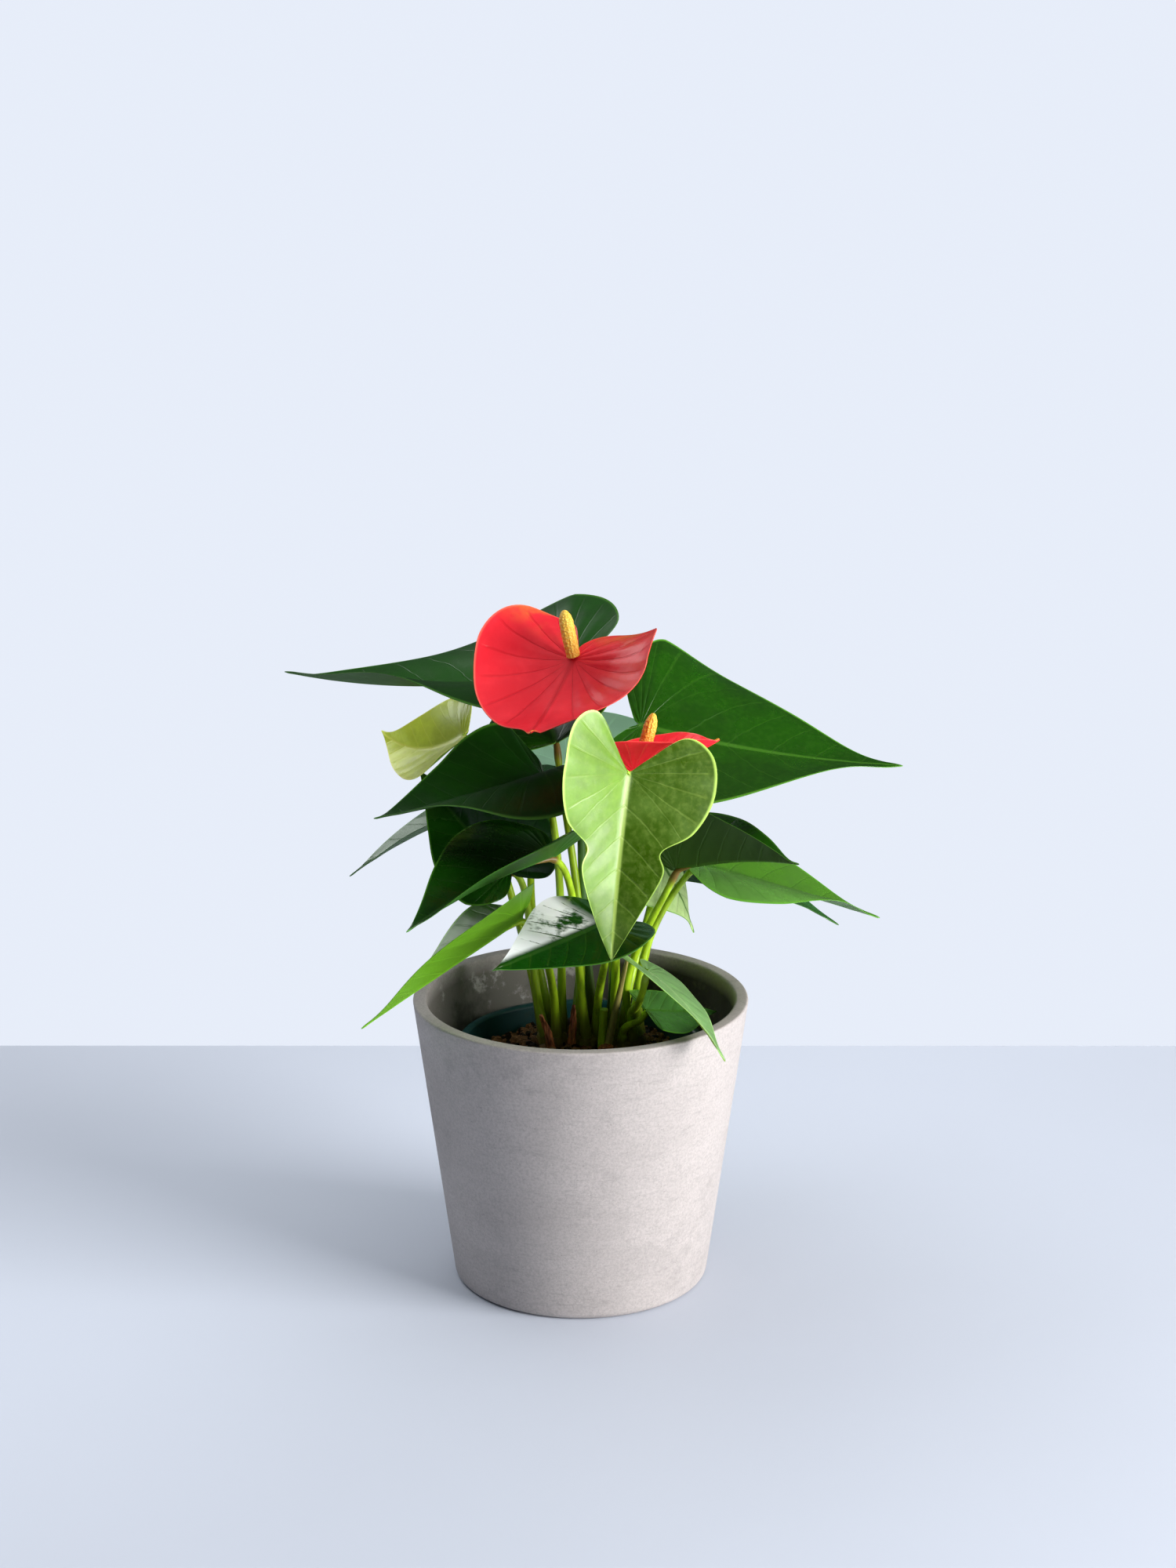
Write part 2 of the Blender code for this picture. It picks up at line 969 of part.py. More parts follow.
def bent(blade, x, y):
    """Takes flat points (x along the midrib, y to the left) to their places in space.

    A half of the blade is an arc: at a distance y it has turned by curl * y / half_width, so the
    chord points at fold plus half of that.
    """
    place, _, left, up = midrib_frame(blade, x)
    on_left = y >= 0
    fold = np.radians(np.where(on_left, blade.fold[0], blade.fold[1]))
    curl = np.radians(np.where(on_left, blade.curl[0], blade.curl[1]))
    half_turn = 0.5 * curl * np.abs(y) / blade.half_width
    chord = np.abs(y) * np.sinc(half_turn / np.pi)
    side = np.where(on_left, 1.0, -1.0) * chord * np.cos(fold + half_turn)
    return place + left * side[..., None] + up * (chord * np.sin(fold + half_turn))[..., None]


def triangles(points, faces):
    """The faces as triangles, a quad cut along its shorter diagonal.

    Both sides of a sheet are then cut the same way, so a twisted quad keeps its thickness.
    """
    cut = []
    for face in faces:
        if len(face) == 3:
            cut.append(face)
            continue
        a, b, c, d = face
        first = np.linalg.norm(points[a] - points[c])
        second = np.linalg.norm(points[b] - points[d])
        cut += [(a, b, c), (a, c, d)] if first <= second else [(a, b, d), (b, c, d)]
    return cut


def sheet_solid(name, points, faces, thickness, finish):
    """A closed sheet: the surface moved half the thickness each way, with a wall at its edge."""
    faces = triangles(points, faces)
    normals = np.zeros_like(points)
    for face in faces:
        corners = points[list(face)]
        middle = corners.mean(0)
        area = sum(np.cross(a - middle, b - middle) for a, b in zip(corners, np.roll(corners, -1, 0)))
        for index in face:
            normals[index] += area
    normals /= np.linalg.norm(normals, axis=1, keepdims=True)
    count = len(points)
    both = np.vstack([points + 0.5 * thickness * normals, points - 0.5 * thickness * normals])
    closed = [tuple(face) for face in faces]
    closed += [tuple(index + count for index in reversed(face)) for face in faces]
    used = {}
    for face in faces:
        for a, b in zip(face, face[1:] + face[:1]):
            used[(a, b)] = used.get((a, b), 0) + 1
    for a, b in used:
        if (b, a) not in used:
            closed.append((b, a, a + count, b + count))
    return solid(name, both, closed, finish)


def blade_solid(blade, thickness, finish):
    """Both halves share the midrib: flat points that coincide are made one before bending."""
    x, y = flat_half(blade, BLADE_ROWS, BLADE_COLUMNS)
    flat = np.concatenate([np.stack([x, y], -1), np.stack([x, -y], -1)]).reshape(-1, 2)
    _, first, merged = np.unique(np.round(flat, 3), axis=0, return_index=True, return_inverse=True)
    merged = merged.reshape(2, BLADE_ROWS, BLADE_COLUMNS)
    faces = []
    for half in (0, 1):
        for i in range(BLADE_ROWS - 1):
            for j in range(BLADE_COLUMNS - 1):
                corners = list(merged[half, i, j : j + 2])
                corners += list(merged[half, i + 1, j : j + 2][::-1])
                if half == 0:
                    corners.reverse()
                kept = [int(c) for k, c in enumerate(corners) if c != corners[k - 1]]
                if len(set(kept)) >= 3:
                    faces.append(tuple(kept))
    x, y = flat[first].T
    lobes = np.where(y >= 0, blade.lobes[0], blade.lobes[1])
    x = np.where(x < 0, x * lobes, x)
    return sheet_solid(blade.name, bent(blade, x, y), faces, thickness, finish)


def cubic(points, share):
    """A cubic curve with four handles, at shares from 0 to 1."""
    first, second, third, fourth = (np.asarray(p, float) for p in points)
    u = np.asarray(share)[:, None]
    ends = (1 - u) ** 3 * first + u**3 * fourth
    return ends + 3 * (1 - u) * u * ((1 - u) * second + u * third)


def tube(name, path, radii, sides, finish):
    """A closed tube of rings square to the path, with a level foot.

    Each ring's frame is carried on from the one below it.
    """
    path = np.asarray(path, float)
    count = len(path)
    tangents = np.gradient(path, axis=0)
    tangents /= np.linalg.norm(tangents, axis=1, keepdims=True)
    tangents[0] = (0.0, 0.0, 1.0)
    angles = np.linspace(0, 2 * np.pi, sides, endpoint=False)
    side = np.cross(tangents[0], (0.0, 1.0, 0.3))
    points = []
    for place, tangent, radius in zip(path, tangents, radii):
        side = side - tangent * np.dot(side, tangent)
        side = side / np.linalg.norm(side)
        other = np.cross(tangent, side)
        around = np.outer(np.cos(angles), side) + np.outer(np.sin(angles), other)
        points.extend(place + radius * around)
    faces = [tuple(reversed(range(sides))), tuple(range((count - 1) * sides, count * sides))]
    for ring in range(count - 1):
        for i in range(sides):
            j = (i + 1) % sides
            low = ring * sides
            faces.append((low + i, low + j, low + sides + j, low + sides + i))
    return solid(name, points, faces, finish)


def crown_place(crown, place):
    """Where a stalk stands on its crown."""
    angle = np.radians(crown.first_angle + 360.0 * place / crown.places)
    x = crown.middle[0] + crown.ring_radius * np.cos(angle)
    y = crown.middle[1] + crown.ring_radius * np.sin(angle)
    return (x, y, STALK_START)


def stalk_name(blade_name):
    if blade_name.startswith("spathe"):
        return blade_name.replace("spathe", "flower_stalk")
    return blade_name.replace("leaf", "petiole")


def stalk_solid(stalk, base):
    """The stalk stops short of the blade by STALK_END_GAP."""
    root = crown_place(CROWNS[stalk.crown], stalk.place)
    arrival = np.asarray(base, float) - stalk.upper
    end = base - arrival / np.linalg.norm(arrival) * STALK_END_GAP
    share = np.linspace(0, 1, STALK_RINGS)
    path = cubic((root, stalk.lower, stalk.upper, end), share)
    radii = STALK_ROOT_RADIUS + (STALK_TIP_RADIUS - STALK_ROOT_RADIUS) * share
    return tube(stalk_name(stalk.blade), path, radii, STALK_SIDES, "stalk_green")


def spadix(name, foot, top, radius):
    """A blunt spike that bows forward and narrows to a round end."""
    share = np.linspace(0, 1, SPADIX_RINGS)
    foot = np.asarray(foot)
    path = foot + (np.asarray(top) - foot) * share[:, None]
    path[:, 1] -= SPADIX_BOW * np.sin(np.pi * share)
    past = np.maximum(share - SPADIX_SHOULDER, 0) / (1.02 - SPADIX_SHOULDER)
    radii = radius * np.sqrt(1 - past**2)
    return tube(name, path, radii, SPADIX_SIDES, "spadix_yellow")


def pointed(name, foot, top, radius, finish, tip=0.25):
    """A short tapering piece that leans from foot to top."""
    share = np.linspace(0, 1, POINTED_RINGS)
    foot = np.asarray(foot)
    path = foot + (np.asarray(top) - foot) * share[:, None]
    path[:, 2] += POINTED_RISE * np.sin(np.pi * share)
    radii = radius * (1 - (1 - tip) * share**2)
    return tube(name, path, radii, STALK_SIDES, finish)


def leaf_finish(name):
    if name in YOUNG_LEAVES:
        return "leaf_young"
    if name in MID_LEAVES:
        return "leaf_mid"
    return "leaf_dark"


def main():
    clear_scene()
    planter()
    nursery_pot()
    potting_mix()
    for side, crown in CROWNS.items():
        crown_solid(f"crown_{side}", crown)
    for blade in BLADES:
        if blade.outline == "spathe":
            blade_solid(blade, SPATHE_THICKNESS, "spathe_red")
        else:
            blade_solid(blade, LEAF_THICKNESS, leaf_finish(blade.name))
    bases = {blade.name: blade.base for blade in BLADES}
    for stalk in STALKS:
        stalk_solid(stalk, bases[stalk.blade])
    for name, sizes in SPADICES.items():
        spadix(name, **sizes)
    pointed("new_shoot", **SHOOT, finish="stalk_green")
    pointed("cut_stub", **STUB, finish="stalk_green", tip=0.9)
    for name, sizes in SHEATHS.items():
        pointed(name, **sizes, finish="dry_brown")


main()
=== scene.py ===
"""Finished look of the potted anthurium: planter, nursery pot, potting mix, stalks, leaves and flowers."""

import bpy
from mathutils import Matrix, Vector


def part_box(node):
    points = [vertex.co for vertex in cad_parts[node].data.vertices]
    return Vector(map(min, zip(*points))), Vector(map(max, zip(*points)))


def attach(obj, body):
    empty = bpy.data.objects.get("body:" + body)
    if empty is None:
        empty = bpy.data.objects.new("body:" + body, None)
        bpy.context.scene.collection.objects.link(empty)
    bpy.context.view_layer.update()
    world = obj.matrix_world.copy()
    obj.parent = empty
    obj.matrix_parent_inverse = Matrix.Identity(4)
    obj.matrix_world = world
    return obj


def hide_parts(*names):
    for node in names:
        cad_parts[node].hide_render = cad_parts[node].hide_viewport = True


bl_info = {
    "name": "Potted anthurium",
    "version": (1, 0, 0),
    "blender": (4, 5, 0),
    "location": "View3D > Sidebar > Anthurium",
    "description": "Builds the detailed plant, its pots and a plain stage around the packed part",
    "category": "Add Mesh",
}

import math
from collections import namedtuple

import bpy
import numpy as np
from bpy.props import FloatProperty, FloatVectorProperty, IntProperty, PointerProperty
from mathutils import Vector

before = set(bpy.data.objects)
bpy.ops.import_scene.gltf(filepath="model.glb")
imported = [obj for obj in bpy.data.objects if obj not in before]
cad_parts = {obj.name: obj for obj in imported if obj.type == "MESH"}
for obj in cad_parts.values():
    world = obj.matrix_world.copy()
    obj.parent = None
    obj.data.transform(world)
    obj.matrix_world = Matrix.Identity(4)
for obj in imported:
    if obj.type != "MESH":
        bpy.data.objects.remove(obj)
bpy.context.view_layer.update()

MM = 0.001

# The poses of the blades and stalks are those of the part, in millimetres and degrees.
Blade = namedtuple(
    "Blade",
    "name outline base length half_width heading sweep pitch bend roll twist fold curl lobes lobe_bend",
)
Stalk = namedtuple("Stalk", "blade crown place lower upper")
Crown = namedtuple("Crown", "ring_radius places first_angle")

OUTLINES = {
    "heart": ((0.0, 0.0), (-0.10, 0.06), (-0.26, 0.38), (-0.17, 0.80), (0.04, 1.0),
              (0.30, 0.88), (0.55, 0.55), (0.78, 0.22), (0.92, 0.06), (1.0, 0.0)),
    "trident": ((0.0, 0.0), (-0.12, 0.22), (-0.30, 0.62), (-0.20, 0.93), (0.06, 1.0),
                (0.28, 0.80), (0.40, 0.46), (0.52, 0.50), (0.76, 0.26), (1.0, 0.0)),
    "spathe": ((0.0, 0.0), (-0.18, 0.04), (-0.42, 0.30), (-0.38, 0.80), (0.02, 1.06),
               (0.45, 0.86), (0.74, 0.46), (0.90, 0.14), (0.96, 0.05), (1.0, 0.0)),
}
CROWNS = {
    "left": Crown(ring_radius=4.6, places=5, first_angle=10.0),
    "middle": Crown(ring_radius=5.3, places=6, first_angle=30.0),
    "right": Crown(ring_radius=7.1, places=9, first_angle=20.0),
}
BLADES = (
    Blade("leaf_left_high", "heart", (-6, 25, 275), 131, 55,
          heading=169, sweep=1, pitch=-15, bend=24, roll=-24, twist=40,
          fold=(28, 23), curl=(-26, -40), lobes=(0.1, 0.7), lobe_bend=-4),
    Blade("leaf_right_large", "heart", (27, 37, 246), 119, 57,
          heading=-6, sweep=4, pitch=-14, bend=12, roll=43, twist=-39,
          fold=(16, 12), curl=(-51, 4), lobes=(0.4, 0.4), lobe_bend=8),
    Blade("leaf_behind_flower", "heart", (-11, 30, 240), 84, 31,
          heading=101, sweep=2, pitch=29, bend=-75, roll=-20, twist=0,
          fold=(15, 25), curl=(-9, 0), lobes=(0.1, 0.1), lobe_bend=0),
    Blade("leaf_back_pale", "heart", (-7, 69, 220), 91, 32,
          heading=19, sweep=0, pitch=-2, bend=-20, roll=-11, twist=0,
          fold=(14, 38), curl=(-10, 26), lobes=(0.9, 1.1), lobe_bend=-30),
    Blade("leaf_mid_left", "heart", (-16, -5, 233), 77, 47,
          heading=200, sweep=-8, pitch=-11, bend=3, roll=12, twist=-17,
          fold=(33, 21), curl=(-98, 19), lobes=(0.6, 0.2), lobe_bend=21),
    Blade("leaf_left_young", "heart", (-53, 42, 240), 54, 29,
          heading=153, sweep=-24, pitch=-36, bend=60, roll=-37, twist=-38,
          fold=(25, 29), curl=(5, -57), lobes=(0.5, 0.8), lobe_bend=40),
    Blade("leaf_left_hanging", "heart", (-21, 69, 205), 98, 31,
          heading=177, sweep=-1, pitch=-11, bend=-28, roll=-4, twist=-1,
          fold=(20, 17), curl=(-1, -8), lobes=(0.9, 0.9), lobe_bend=0),
    Blade("leaf_left_inner", "heart", (-32, 9, 186), 64, 32,
          heading=153, sweep=-17, pitch=36, bend=3, roll=-46, twist=4,
          fold=(36, 40), curl=(-15, -10), lobes=(0.5, 0.9), lobe_bend=-7),
    Blade("leaf_left_low_large", "heart", (-13, -22, 202), 82, 40,
          heading=219, sweep=6, pitch=-5, bend=-14, roll=-2, twist=-12,
          fold=(49, 25), curl=(-19, -30), lobes=(0.9, 0.4), lobe_bend=30),
    Blade("leaf_left_low_young", "heart", (-26, -25, 175), 85, 35,
          heading=217, sweep=-26, pitch=-22, bend=-12, roll=17, twist=-4,
          fold=(37, 3), curl=(-13, 21), lobes=(0.1, 0.3), lobe_bend=-1),
    Blade("leaf_front", "trident", (20, -52, 247), 79, 38,
          heading=-108, sweep=-1, pitch=-68, bend=-12, roll=-37, twist=24,
          fold=(14, 32), curl=(-8, -10), lobes=(0.8, 0.9), lobe_bend=-6),
    Blade("leaf_front_low", "heart", (10, -36, 176), 61, 28,
          heading=223, sweep=-8, pitch=-7, bend=-2, roll=-13, twist=-24,
          fold=(7, -1), curl=(7, 2), lobes=(0.9, 0.7), lobe_bend=-9),
    Blade("leaf_right_mid", "heart", (42, -10, 193), 64, 36,
          heading=-27, sweep=-16, pitch=19, bend=-15, roll=-14, twist=-11,
          fold=(36, 42), curl=(16, 22), lobes=(0.6, 0.6), lobe_bend=0),
    Blade("leaf_right_low", "heart", (52, 24, 185), 94, 44,
          heading=18, sweep=-8, pitch=-19, bend=-2, roll=5, twist=-9,
          fold=(19, 22), curl=(3, -45), lobes=(0.6, 0.6), lobe_bend=4),
    Blade("leaf_right_back_tip", "heart", (44, 86, 165), 83, 26,
          heading=-9, sweep=0, pitch=-4, bend=-27, roll=3, twist=0,
          fold=(14, 13), curl=(-10, -12), lobes=(0.9, 0.9), lobe_bend=0),
    Blade("leaf_right_inner", "heart", (35, 42, 183), 39, 30,
          heading=-21, sweep=7, pitch=-53, bend=-20, roll=8, twist=-20,
          fold=(-2, -2), curl=(-13, -44), lobes=(0.9, 0.9), lobe_bend=0),
    Blade("leaf_over_rim", "heart", (29, -35, 154), 58, 23,
          heading=-52, sweep=4, pitch=-11, bend=-34, roll=-24, twist=-8,
          fold=(9, 16), curl=(-22, -14), lobes=(0.9, 0.9), lobe_bend=15),
    Blade("leaf_in_pot", "heart", (29, -15, 129), 37, 21,
          heading=22, sweep=12, pitch=-11, bend=2, roll=0, twist=23,
          fold=(14, 4), curl=(-13, -23), lobes=(0.2, 0.2), lobe_bend=1),
    Blade("spathe_large", "spathe", (-3, -16, 288), 56, 42,
          heading=-122, sweep=22, pitch=-48, bend=52, roll=-3, twist=13,
          fold=(-10, -8), curl=(50, 51), lobes=(0.9, 0.9), lobe_bend=-46),
    Blade("spathe_small", "spathe", (23, -20, 240), 40, 28,
          heading=-13, sweep=13, pitch=12, bend=21, roll=-11, twist=9,
          fold=(26, 42), curl=(1, -28), lobes=(0.9, 0.9), lobe_bend=0),
)
STALKS = (
    Stalk("leaf_mid_left", "left", 0, (-9, 7, 159), (-7, -8, 198)),
    Stalk("leaf_left_hanging", "left", 1, (-26, 23, 158), (-24, 69, 177)),
    Stalk("leaf_left_young", "left", 2, (-25, 17, 159), (-42, 40, 198)),
    Stalk("leaf_left_inner", "left", 3, (-25, 9, 145), (-20, 16, 184)),
    Stalk("leaf_left_low_young", "left", 4, (-12, 4, 141), (-15, -20, 161)),
    Stalk("spathe_large", "middle", 0, (-5, 14, 185), (4, 26, 254)),
    Stalk("leaf_left_high", "middle", 1, (4, 24, 164), (4, 18, 258)),
    Stalk("leaf_back_pale", "middle", 2, (0, 31, 157), (9, 64, 183)),
    Stalk("leaf_behind_flower", "middle", 3, (5, 8, 166), (-7, 13, 201)),
    Stalk("leaf_left_low_large", "middle", 4, (-3, 1, 150), (0, -13, 197)),
    Stalk("leaf_front_low", "middle", 5, (7, 3, 142), (14, -29, 155)),
    Stalk("leaf_right_low", "right", 0, (22, 16, 144), (37, 22, 168)),
    Stalk("leaf_right_back_tip", "right", 1, (28, 24, 147), (36, 88, 140)),
    Stalk("leaf_right_inner", "right", 2, (22, 19, 142), (36, 48, 159)),
    Stalk("leaf_right_large", "right", 3, (15, 17, 165), (10, 52, 213)),
    Stalk("spathe_small", "right", 4, (17, 6, 163), (18, -21, 203)),
    Stalk("leaf_front", "right", 5, (17, -4, 168), (14, -20, 222)),
    Stalk("leaf_in_pot", "right", 6, (18, -1, 120), (26, -16, 121)),
    Stalk("leaf_over_rim", "right", 7, (21, 2, 135), (24, -34, 124)),
    Stalk("leaf_right_mid", "right", 8, (10, 14, 131), (31, -5, 164)),
)
FAN_SHARE = 0.42
SPOKES = 9.0
LEAF_VEINS = 6
MIDRIB_STEPS = 60
# How far the side veins lean forward and bow, and how many ruffles the edge has.
VEIN_LEAN = 0.34
VEIN_BOW = 0.20
RUFFLES = 3.3

# Finish of each blade: its slot, the colours of the left and right halves of its upper side, of its
# veins and of its underside, how far the veins show, its roughness, and how white its painted reflection is.
LeafLook = namedtuple("LeafLook", "slot left right veins under vein_strength roughness film")
DARK = LeafLook(
    "leaf_dark",
    left=(0.0045, 0.046, 0.001), right=(0.0055, 0.054, 0.001),
    veins=(0.020, 0.080, 0.008), under=(0.035, 0.11, 0.015),
    vein_strength=0.35, roughness=0.22, film=0.0,
)
MID = LeafLook(
    "leaf_mid",
    left=(0.010, 0.068, 0.001), right=(0.013, 0.078, 0.001),
    veins=(0.045, 0.16, 0.010), under=(0.07, 0.20, 0.02),
    vein_strength=0.4, roughness=0.24, film=0.0,
)
YOUNG = LeafLook(
    "leaf_young",
    left=(0.20, 0.38, 0.01), right=(0.16, 0.32, 0.01),
    veins=(0.38, 0.55, 0.06), under=(0.25, 0.42, 0.03),
    vein_strength=0.5, roughness=0.26, film=0.0,
)
LEAF_LOOKS = {
    "leaf_left_high": DARK._replace(left=(0.008, 0.056, 0.002), right=(0.013, 0.085, 0.006), roughness=0.3),
    "leaf_right_large": MID,
    "leaf_behind_flower": MID._replace(under=(0.14, 0.30, 0.03)),
    # Painted reflection: this leaf's pale blue-green stands for the bright light it mirrors, and lifts it
    # where it sits in shade.
    "leaf_back_pale": DARK._replace(
        left=(0.24, 0.40, 0.30), right=(0.24, 0.40, 0.30), veins=(0.34, 0.48, 0.40), under=(0.20, 0.36, 0.24)
    ),
    "leaf_mid_left": DARK._replace(roughness=0.36),
    # Partly painted light: a young leaf's pale yellow-green, raised far above its own colour to brighten it
    # where it sits in shade.
    "leaf_left_young": YOUNG._replace(
        left=(0.78, 0.90, 0.08), right=(0.72, 0.86, 0.08), veins=(0.85, 0.93, 0.14)
    ),
    "leaf_left_hanging": DARK._replace(left=(0.03, 0.12, 0.02), right=(0.03, 0.12, 0.02)),
    "leaf_left_inner": DARK,
    "leaf_left_low_large": DARK._replace(under=(0.028, 0.12, 0.01)),
    "leaf_left_low_young": YOUNG._replace(
        left=(0.05, 0.21, 0.003), right=(0.06, 0.24, 0.003),
        veins=(0.11, 0.30, 0.012), under=(0.12, 0.32, 0.01),
    ),
    # Its right half is paler than its left: partly its own lighter green, partly painted sheen where that
    # half catches the light.
    "leaf_front": YOUNG._replace(
        left=(0.036, 0.090, 0.001), right=(0.19, 0.37, 0.04), veins=(0.34, 0.48, 0.10), vein_strength=0.28
    ),
    # The pale torn patches on this leaf are a painted reflection of the sky.
    "leaf_front_low": DARK._replace(left=(0.003, 0.050, 0.001), roughness=0.14, film=0.9),
    "leaf_right_mid": DARK._replace(
        left=(0.012, 0.090, 0.001), right=(0.012, 0.042, 0.001), under=(0.02, 0.06, 0.002)
    ),
    "leaf_right_low": MID._replace(left=(0.065, 0.20, 0.014), right=(0.11, 0.29, 0.045)),
    "leaf_right_back_tip": DARK._replace(left=(0.03, 0.12, 0.03), right=(0.03, 0.12, 0.03)),
    # Painted highlight: this leaf's near-white green stands for the light it catches, far paler than a
    # leaf's own colour.
    "leaf_right_inner": MID._replace(
        left=(0.62, 0.85, 0.34), right=(0.62, 0.85, 0.34), under=(0.50, 0.75, 0.25)
    ),
    # Partly painted sheen: the blue in this leaf's pale green stands for the sky it mirrors.
    "leaf_over_rim": YOUNG._replace(
        left=(0.19, 0.38, 0.13), right=(0.20, 0.40, 0.13), veins=(0.28, 0.46, 0.18), vein_strength=0.3
    ),
    "leaf_in_pot": MID._replace(left=(0.06, 0.19, 0.035), right=(0.06, 0.19, 0.035)),
}
# How strongly a leaf glows, in place of the daylight that comes through it.
LIT_THROUGH = {
    "leaf_left_young": 0.11,
    "leaf_back_pale": 0.45,
    "leaf_right_inner": 0.18,
    "leaf_front_low": 0.02,
}
# Colour, vein colour and glow of each bract.
SPATHE_LOOKS = {
    "spathe_large": ((0.74, 0.020, 0.034), (0.50, 0.008, 0.014), 0.0),
    "spathe_small": ((0.90, 0.020, 0.034), (0.62, 0.008, 0.016), 0.30),
}
# Leaves whose stalk is red-brown at the joint below the blade.
RED_JOINTS = (
    "leaf_behind_flower", "leaf_left_low_large", "leaf_left_inner", "leaf_right_mid", "leaf_left_high",
)

Spadix = namedtuple("Spadix", "name foot top bow radius")
SPADICES = (
    Spadix("spadix_large", foot=(-3.0, -15.0, 289.5), top=(-7.0, -13.0, 309.0), bow=1.6, radius=3.1),
    Spadix("spadix_small", foot=(25.3, -19.2, 242.5), top=(31.5, -18.0, 265.0), bow=1.6, radius=2.9),
)
BRACT_THICKNESS = 0.75
BRACT_RELIEF = 0.4
PLANTER_FOOT_RADIUS = 57.2
PLANTER_WALL = 6.0
PLANTER_FLOOR = 6.0
NURSERY_BASE_RADIUS = 40.0
NURSERY_WALL = 1.2
MIX_SEED = 7

# The stage, in metres and degrees.
TABLE_REACH = 3.0
TABLE_BACK = 0.29
CAMERA_PLACE = (0.0041, -1.1986, 0.5490)
CAMERA_TILT = 14.96
CAMERA_TURN = 0.04
CAMERA_LENS = 64.99
# Brightness of the space where it lights a surface, and its further share in reflections.
WORLD_LIGHT = 0.21
WORLD_SHINE = 0.3


# ---------------------------------------------------------------- shapes


def spline(points, count):
    """A smooth curve through the points (Catmull-Rom), count samples evenly spread in their order."""
    points = np.asarray(points, float)
    spans = len(points) - 1
    padded = np.vstack([2 * points[0] - points[1], points, 2 * points[-1] - points[-2]])
    place = np.linspace(0, spans, count)
    index = np.minimum(place.astype(int), spans - 1)
    f = (place - index)[:, None]
    a, b, c, d = (padded[index + k] for k in range(4))
    square = (2 * a - 5 * b + 4 * c - d) * f**2
    cube = (3 * b - a - 3 * c + d) * f**3
    return 0.5 * (2 * b + (c - a) * f + square + cube)


def cubic(points, share):
    """A cubic curve: each of its four handles weighted by its Bernstein polynomial of the share."""
    first, second, third, fourth = (np.asarray(p, float) for p in points)
    u = np.asarray(share)[:, None]
    ends = (1 - u) ** 3 * first + u**3 * fourth
    return ends + 3 * (1 - u) * u * ((1 - u) * second + u * third)


def unit(vectors):
    return vectors / np.maximum(np.linalg.norm(vectors, axis=-1, keepdims=True), 1e-12)


def midrib_frame(blade, x):
    """Place, forward, left and up of the midrib at distances x, by summing short steps along it.

    Heading, pitch and roll change evenly from the base to the tip. Behind the base the line runs
    straight back and bends by the lobe bend.
    """
    share = np.linspace(0, 1, MIDRIB_STEPS + 1)
    tracks = []
    for reach, sweep, bend, twist in (
        (blade.length, blade.sweep, blade.bend, blade.twist),
        (-0.5 * blade.length, 0.0, -blade.lobe_bend, 0.0),
    ):
        heading = np.radians(blade.heading + sweep * share)
        pitch = np.radians(blade.pitch + bend * share)
        roll = np.radians(blade.roll + twist * share)[:, None]
        flat = np.cos(pitch)
        forward = np.stack([np.cos(heading) * flat, np.sin(heading) * flat, np.sin(pitch)], 1)
        level = np.stack([-np.sin(heading), np.cos(heading), 0 * heading], 1)
        left = level * np.cos(roll) + np.cross(forward, level) * np.sin(roll)
        middle = 0.5 * (forward[1:] + forward[:-1])
        place = np.vstack([np.zeros(3), np.cumsum(middle * reach / MIDRIB_STEPS, 0)]) + blade.base
        tracks.append((reach, place, forward, left))
    result = []
    for part in (1, 2, 3):
        values = []
        for track in tracks:
            at = np.clip(x / track[0], 0, 1)
            values.append(np.stack([np.interp(at, share, track[part][:, k]) for k in range(3)], -1))
        result.append(np.where((x >= 0)[..., None], values[0], values[1]))
    place, forward, left = result
    forward = unit(forward)
    left = unit(left - forward * (left * forward).sum(-1, keepdims=True))
    return place, forward, left, np.cross(forward, left)


def bent(blade, x, y):
    """Takes flat points, x along the midrib and y to the left, to their places in space.

    Each half is an arc of a circle across the blade: at distance y it has turned by
    curl * y / half width, so its chord points at the fold angle plus half of that.
    """
    place, _, left, up = midrib_frame(blade, x)
    on_left = y >= 0
    fold = np.radians(np.where(on_left, blade.fold[0], blade.fold[1]))
    curl = np.radians(np.where(on_left, blade.curl[0], blade.curl[1]))
    half_turn = 0.5 * curl * np.abs(y) / blade.half_width
    # The fold opens out over the first millimetres, so that the midrib is a rounded groove.
    soft = np.abs(y) / (np.abs(y) + 0.6)
    chord = np.abs(y) * np.sinc(half_turn / np.pi)
    angle = fold * soft + half_turn
    side = np.where(on_left, 1.0, -1.0) * chord * np.cos(angle)
    return place + left * side[..., None] + up * (chord * np.sin(angle))[..., None]


def vein_height(u, v, aspect, count):
    """Relief of the veins, 1 on a vein and falling to 0 between them.

    Ahead of the base, veins leave the midrib evenly and lean forward. Behind it they spread from
    the base like spokes.
    """
    a = np.abs(v)
    phase = (u - VEIN_LEAN * a - VEIN_BOW * a**2) * count
    side = 0.5 - 0.5 * np.cos(2 * np.pi * phase)
    angle = np.arctan2(a * aspect, u) / np.pi * SPOKES
    spoke = 0.5 - 0.5 * np.cos(2 * np.pi * angle)
    ahead = np.clip(phase * 1.5 + 0.5, 0, 1) if count else 0.0
    return 1 - (side * ahead + spoke * (1 - ahead))


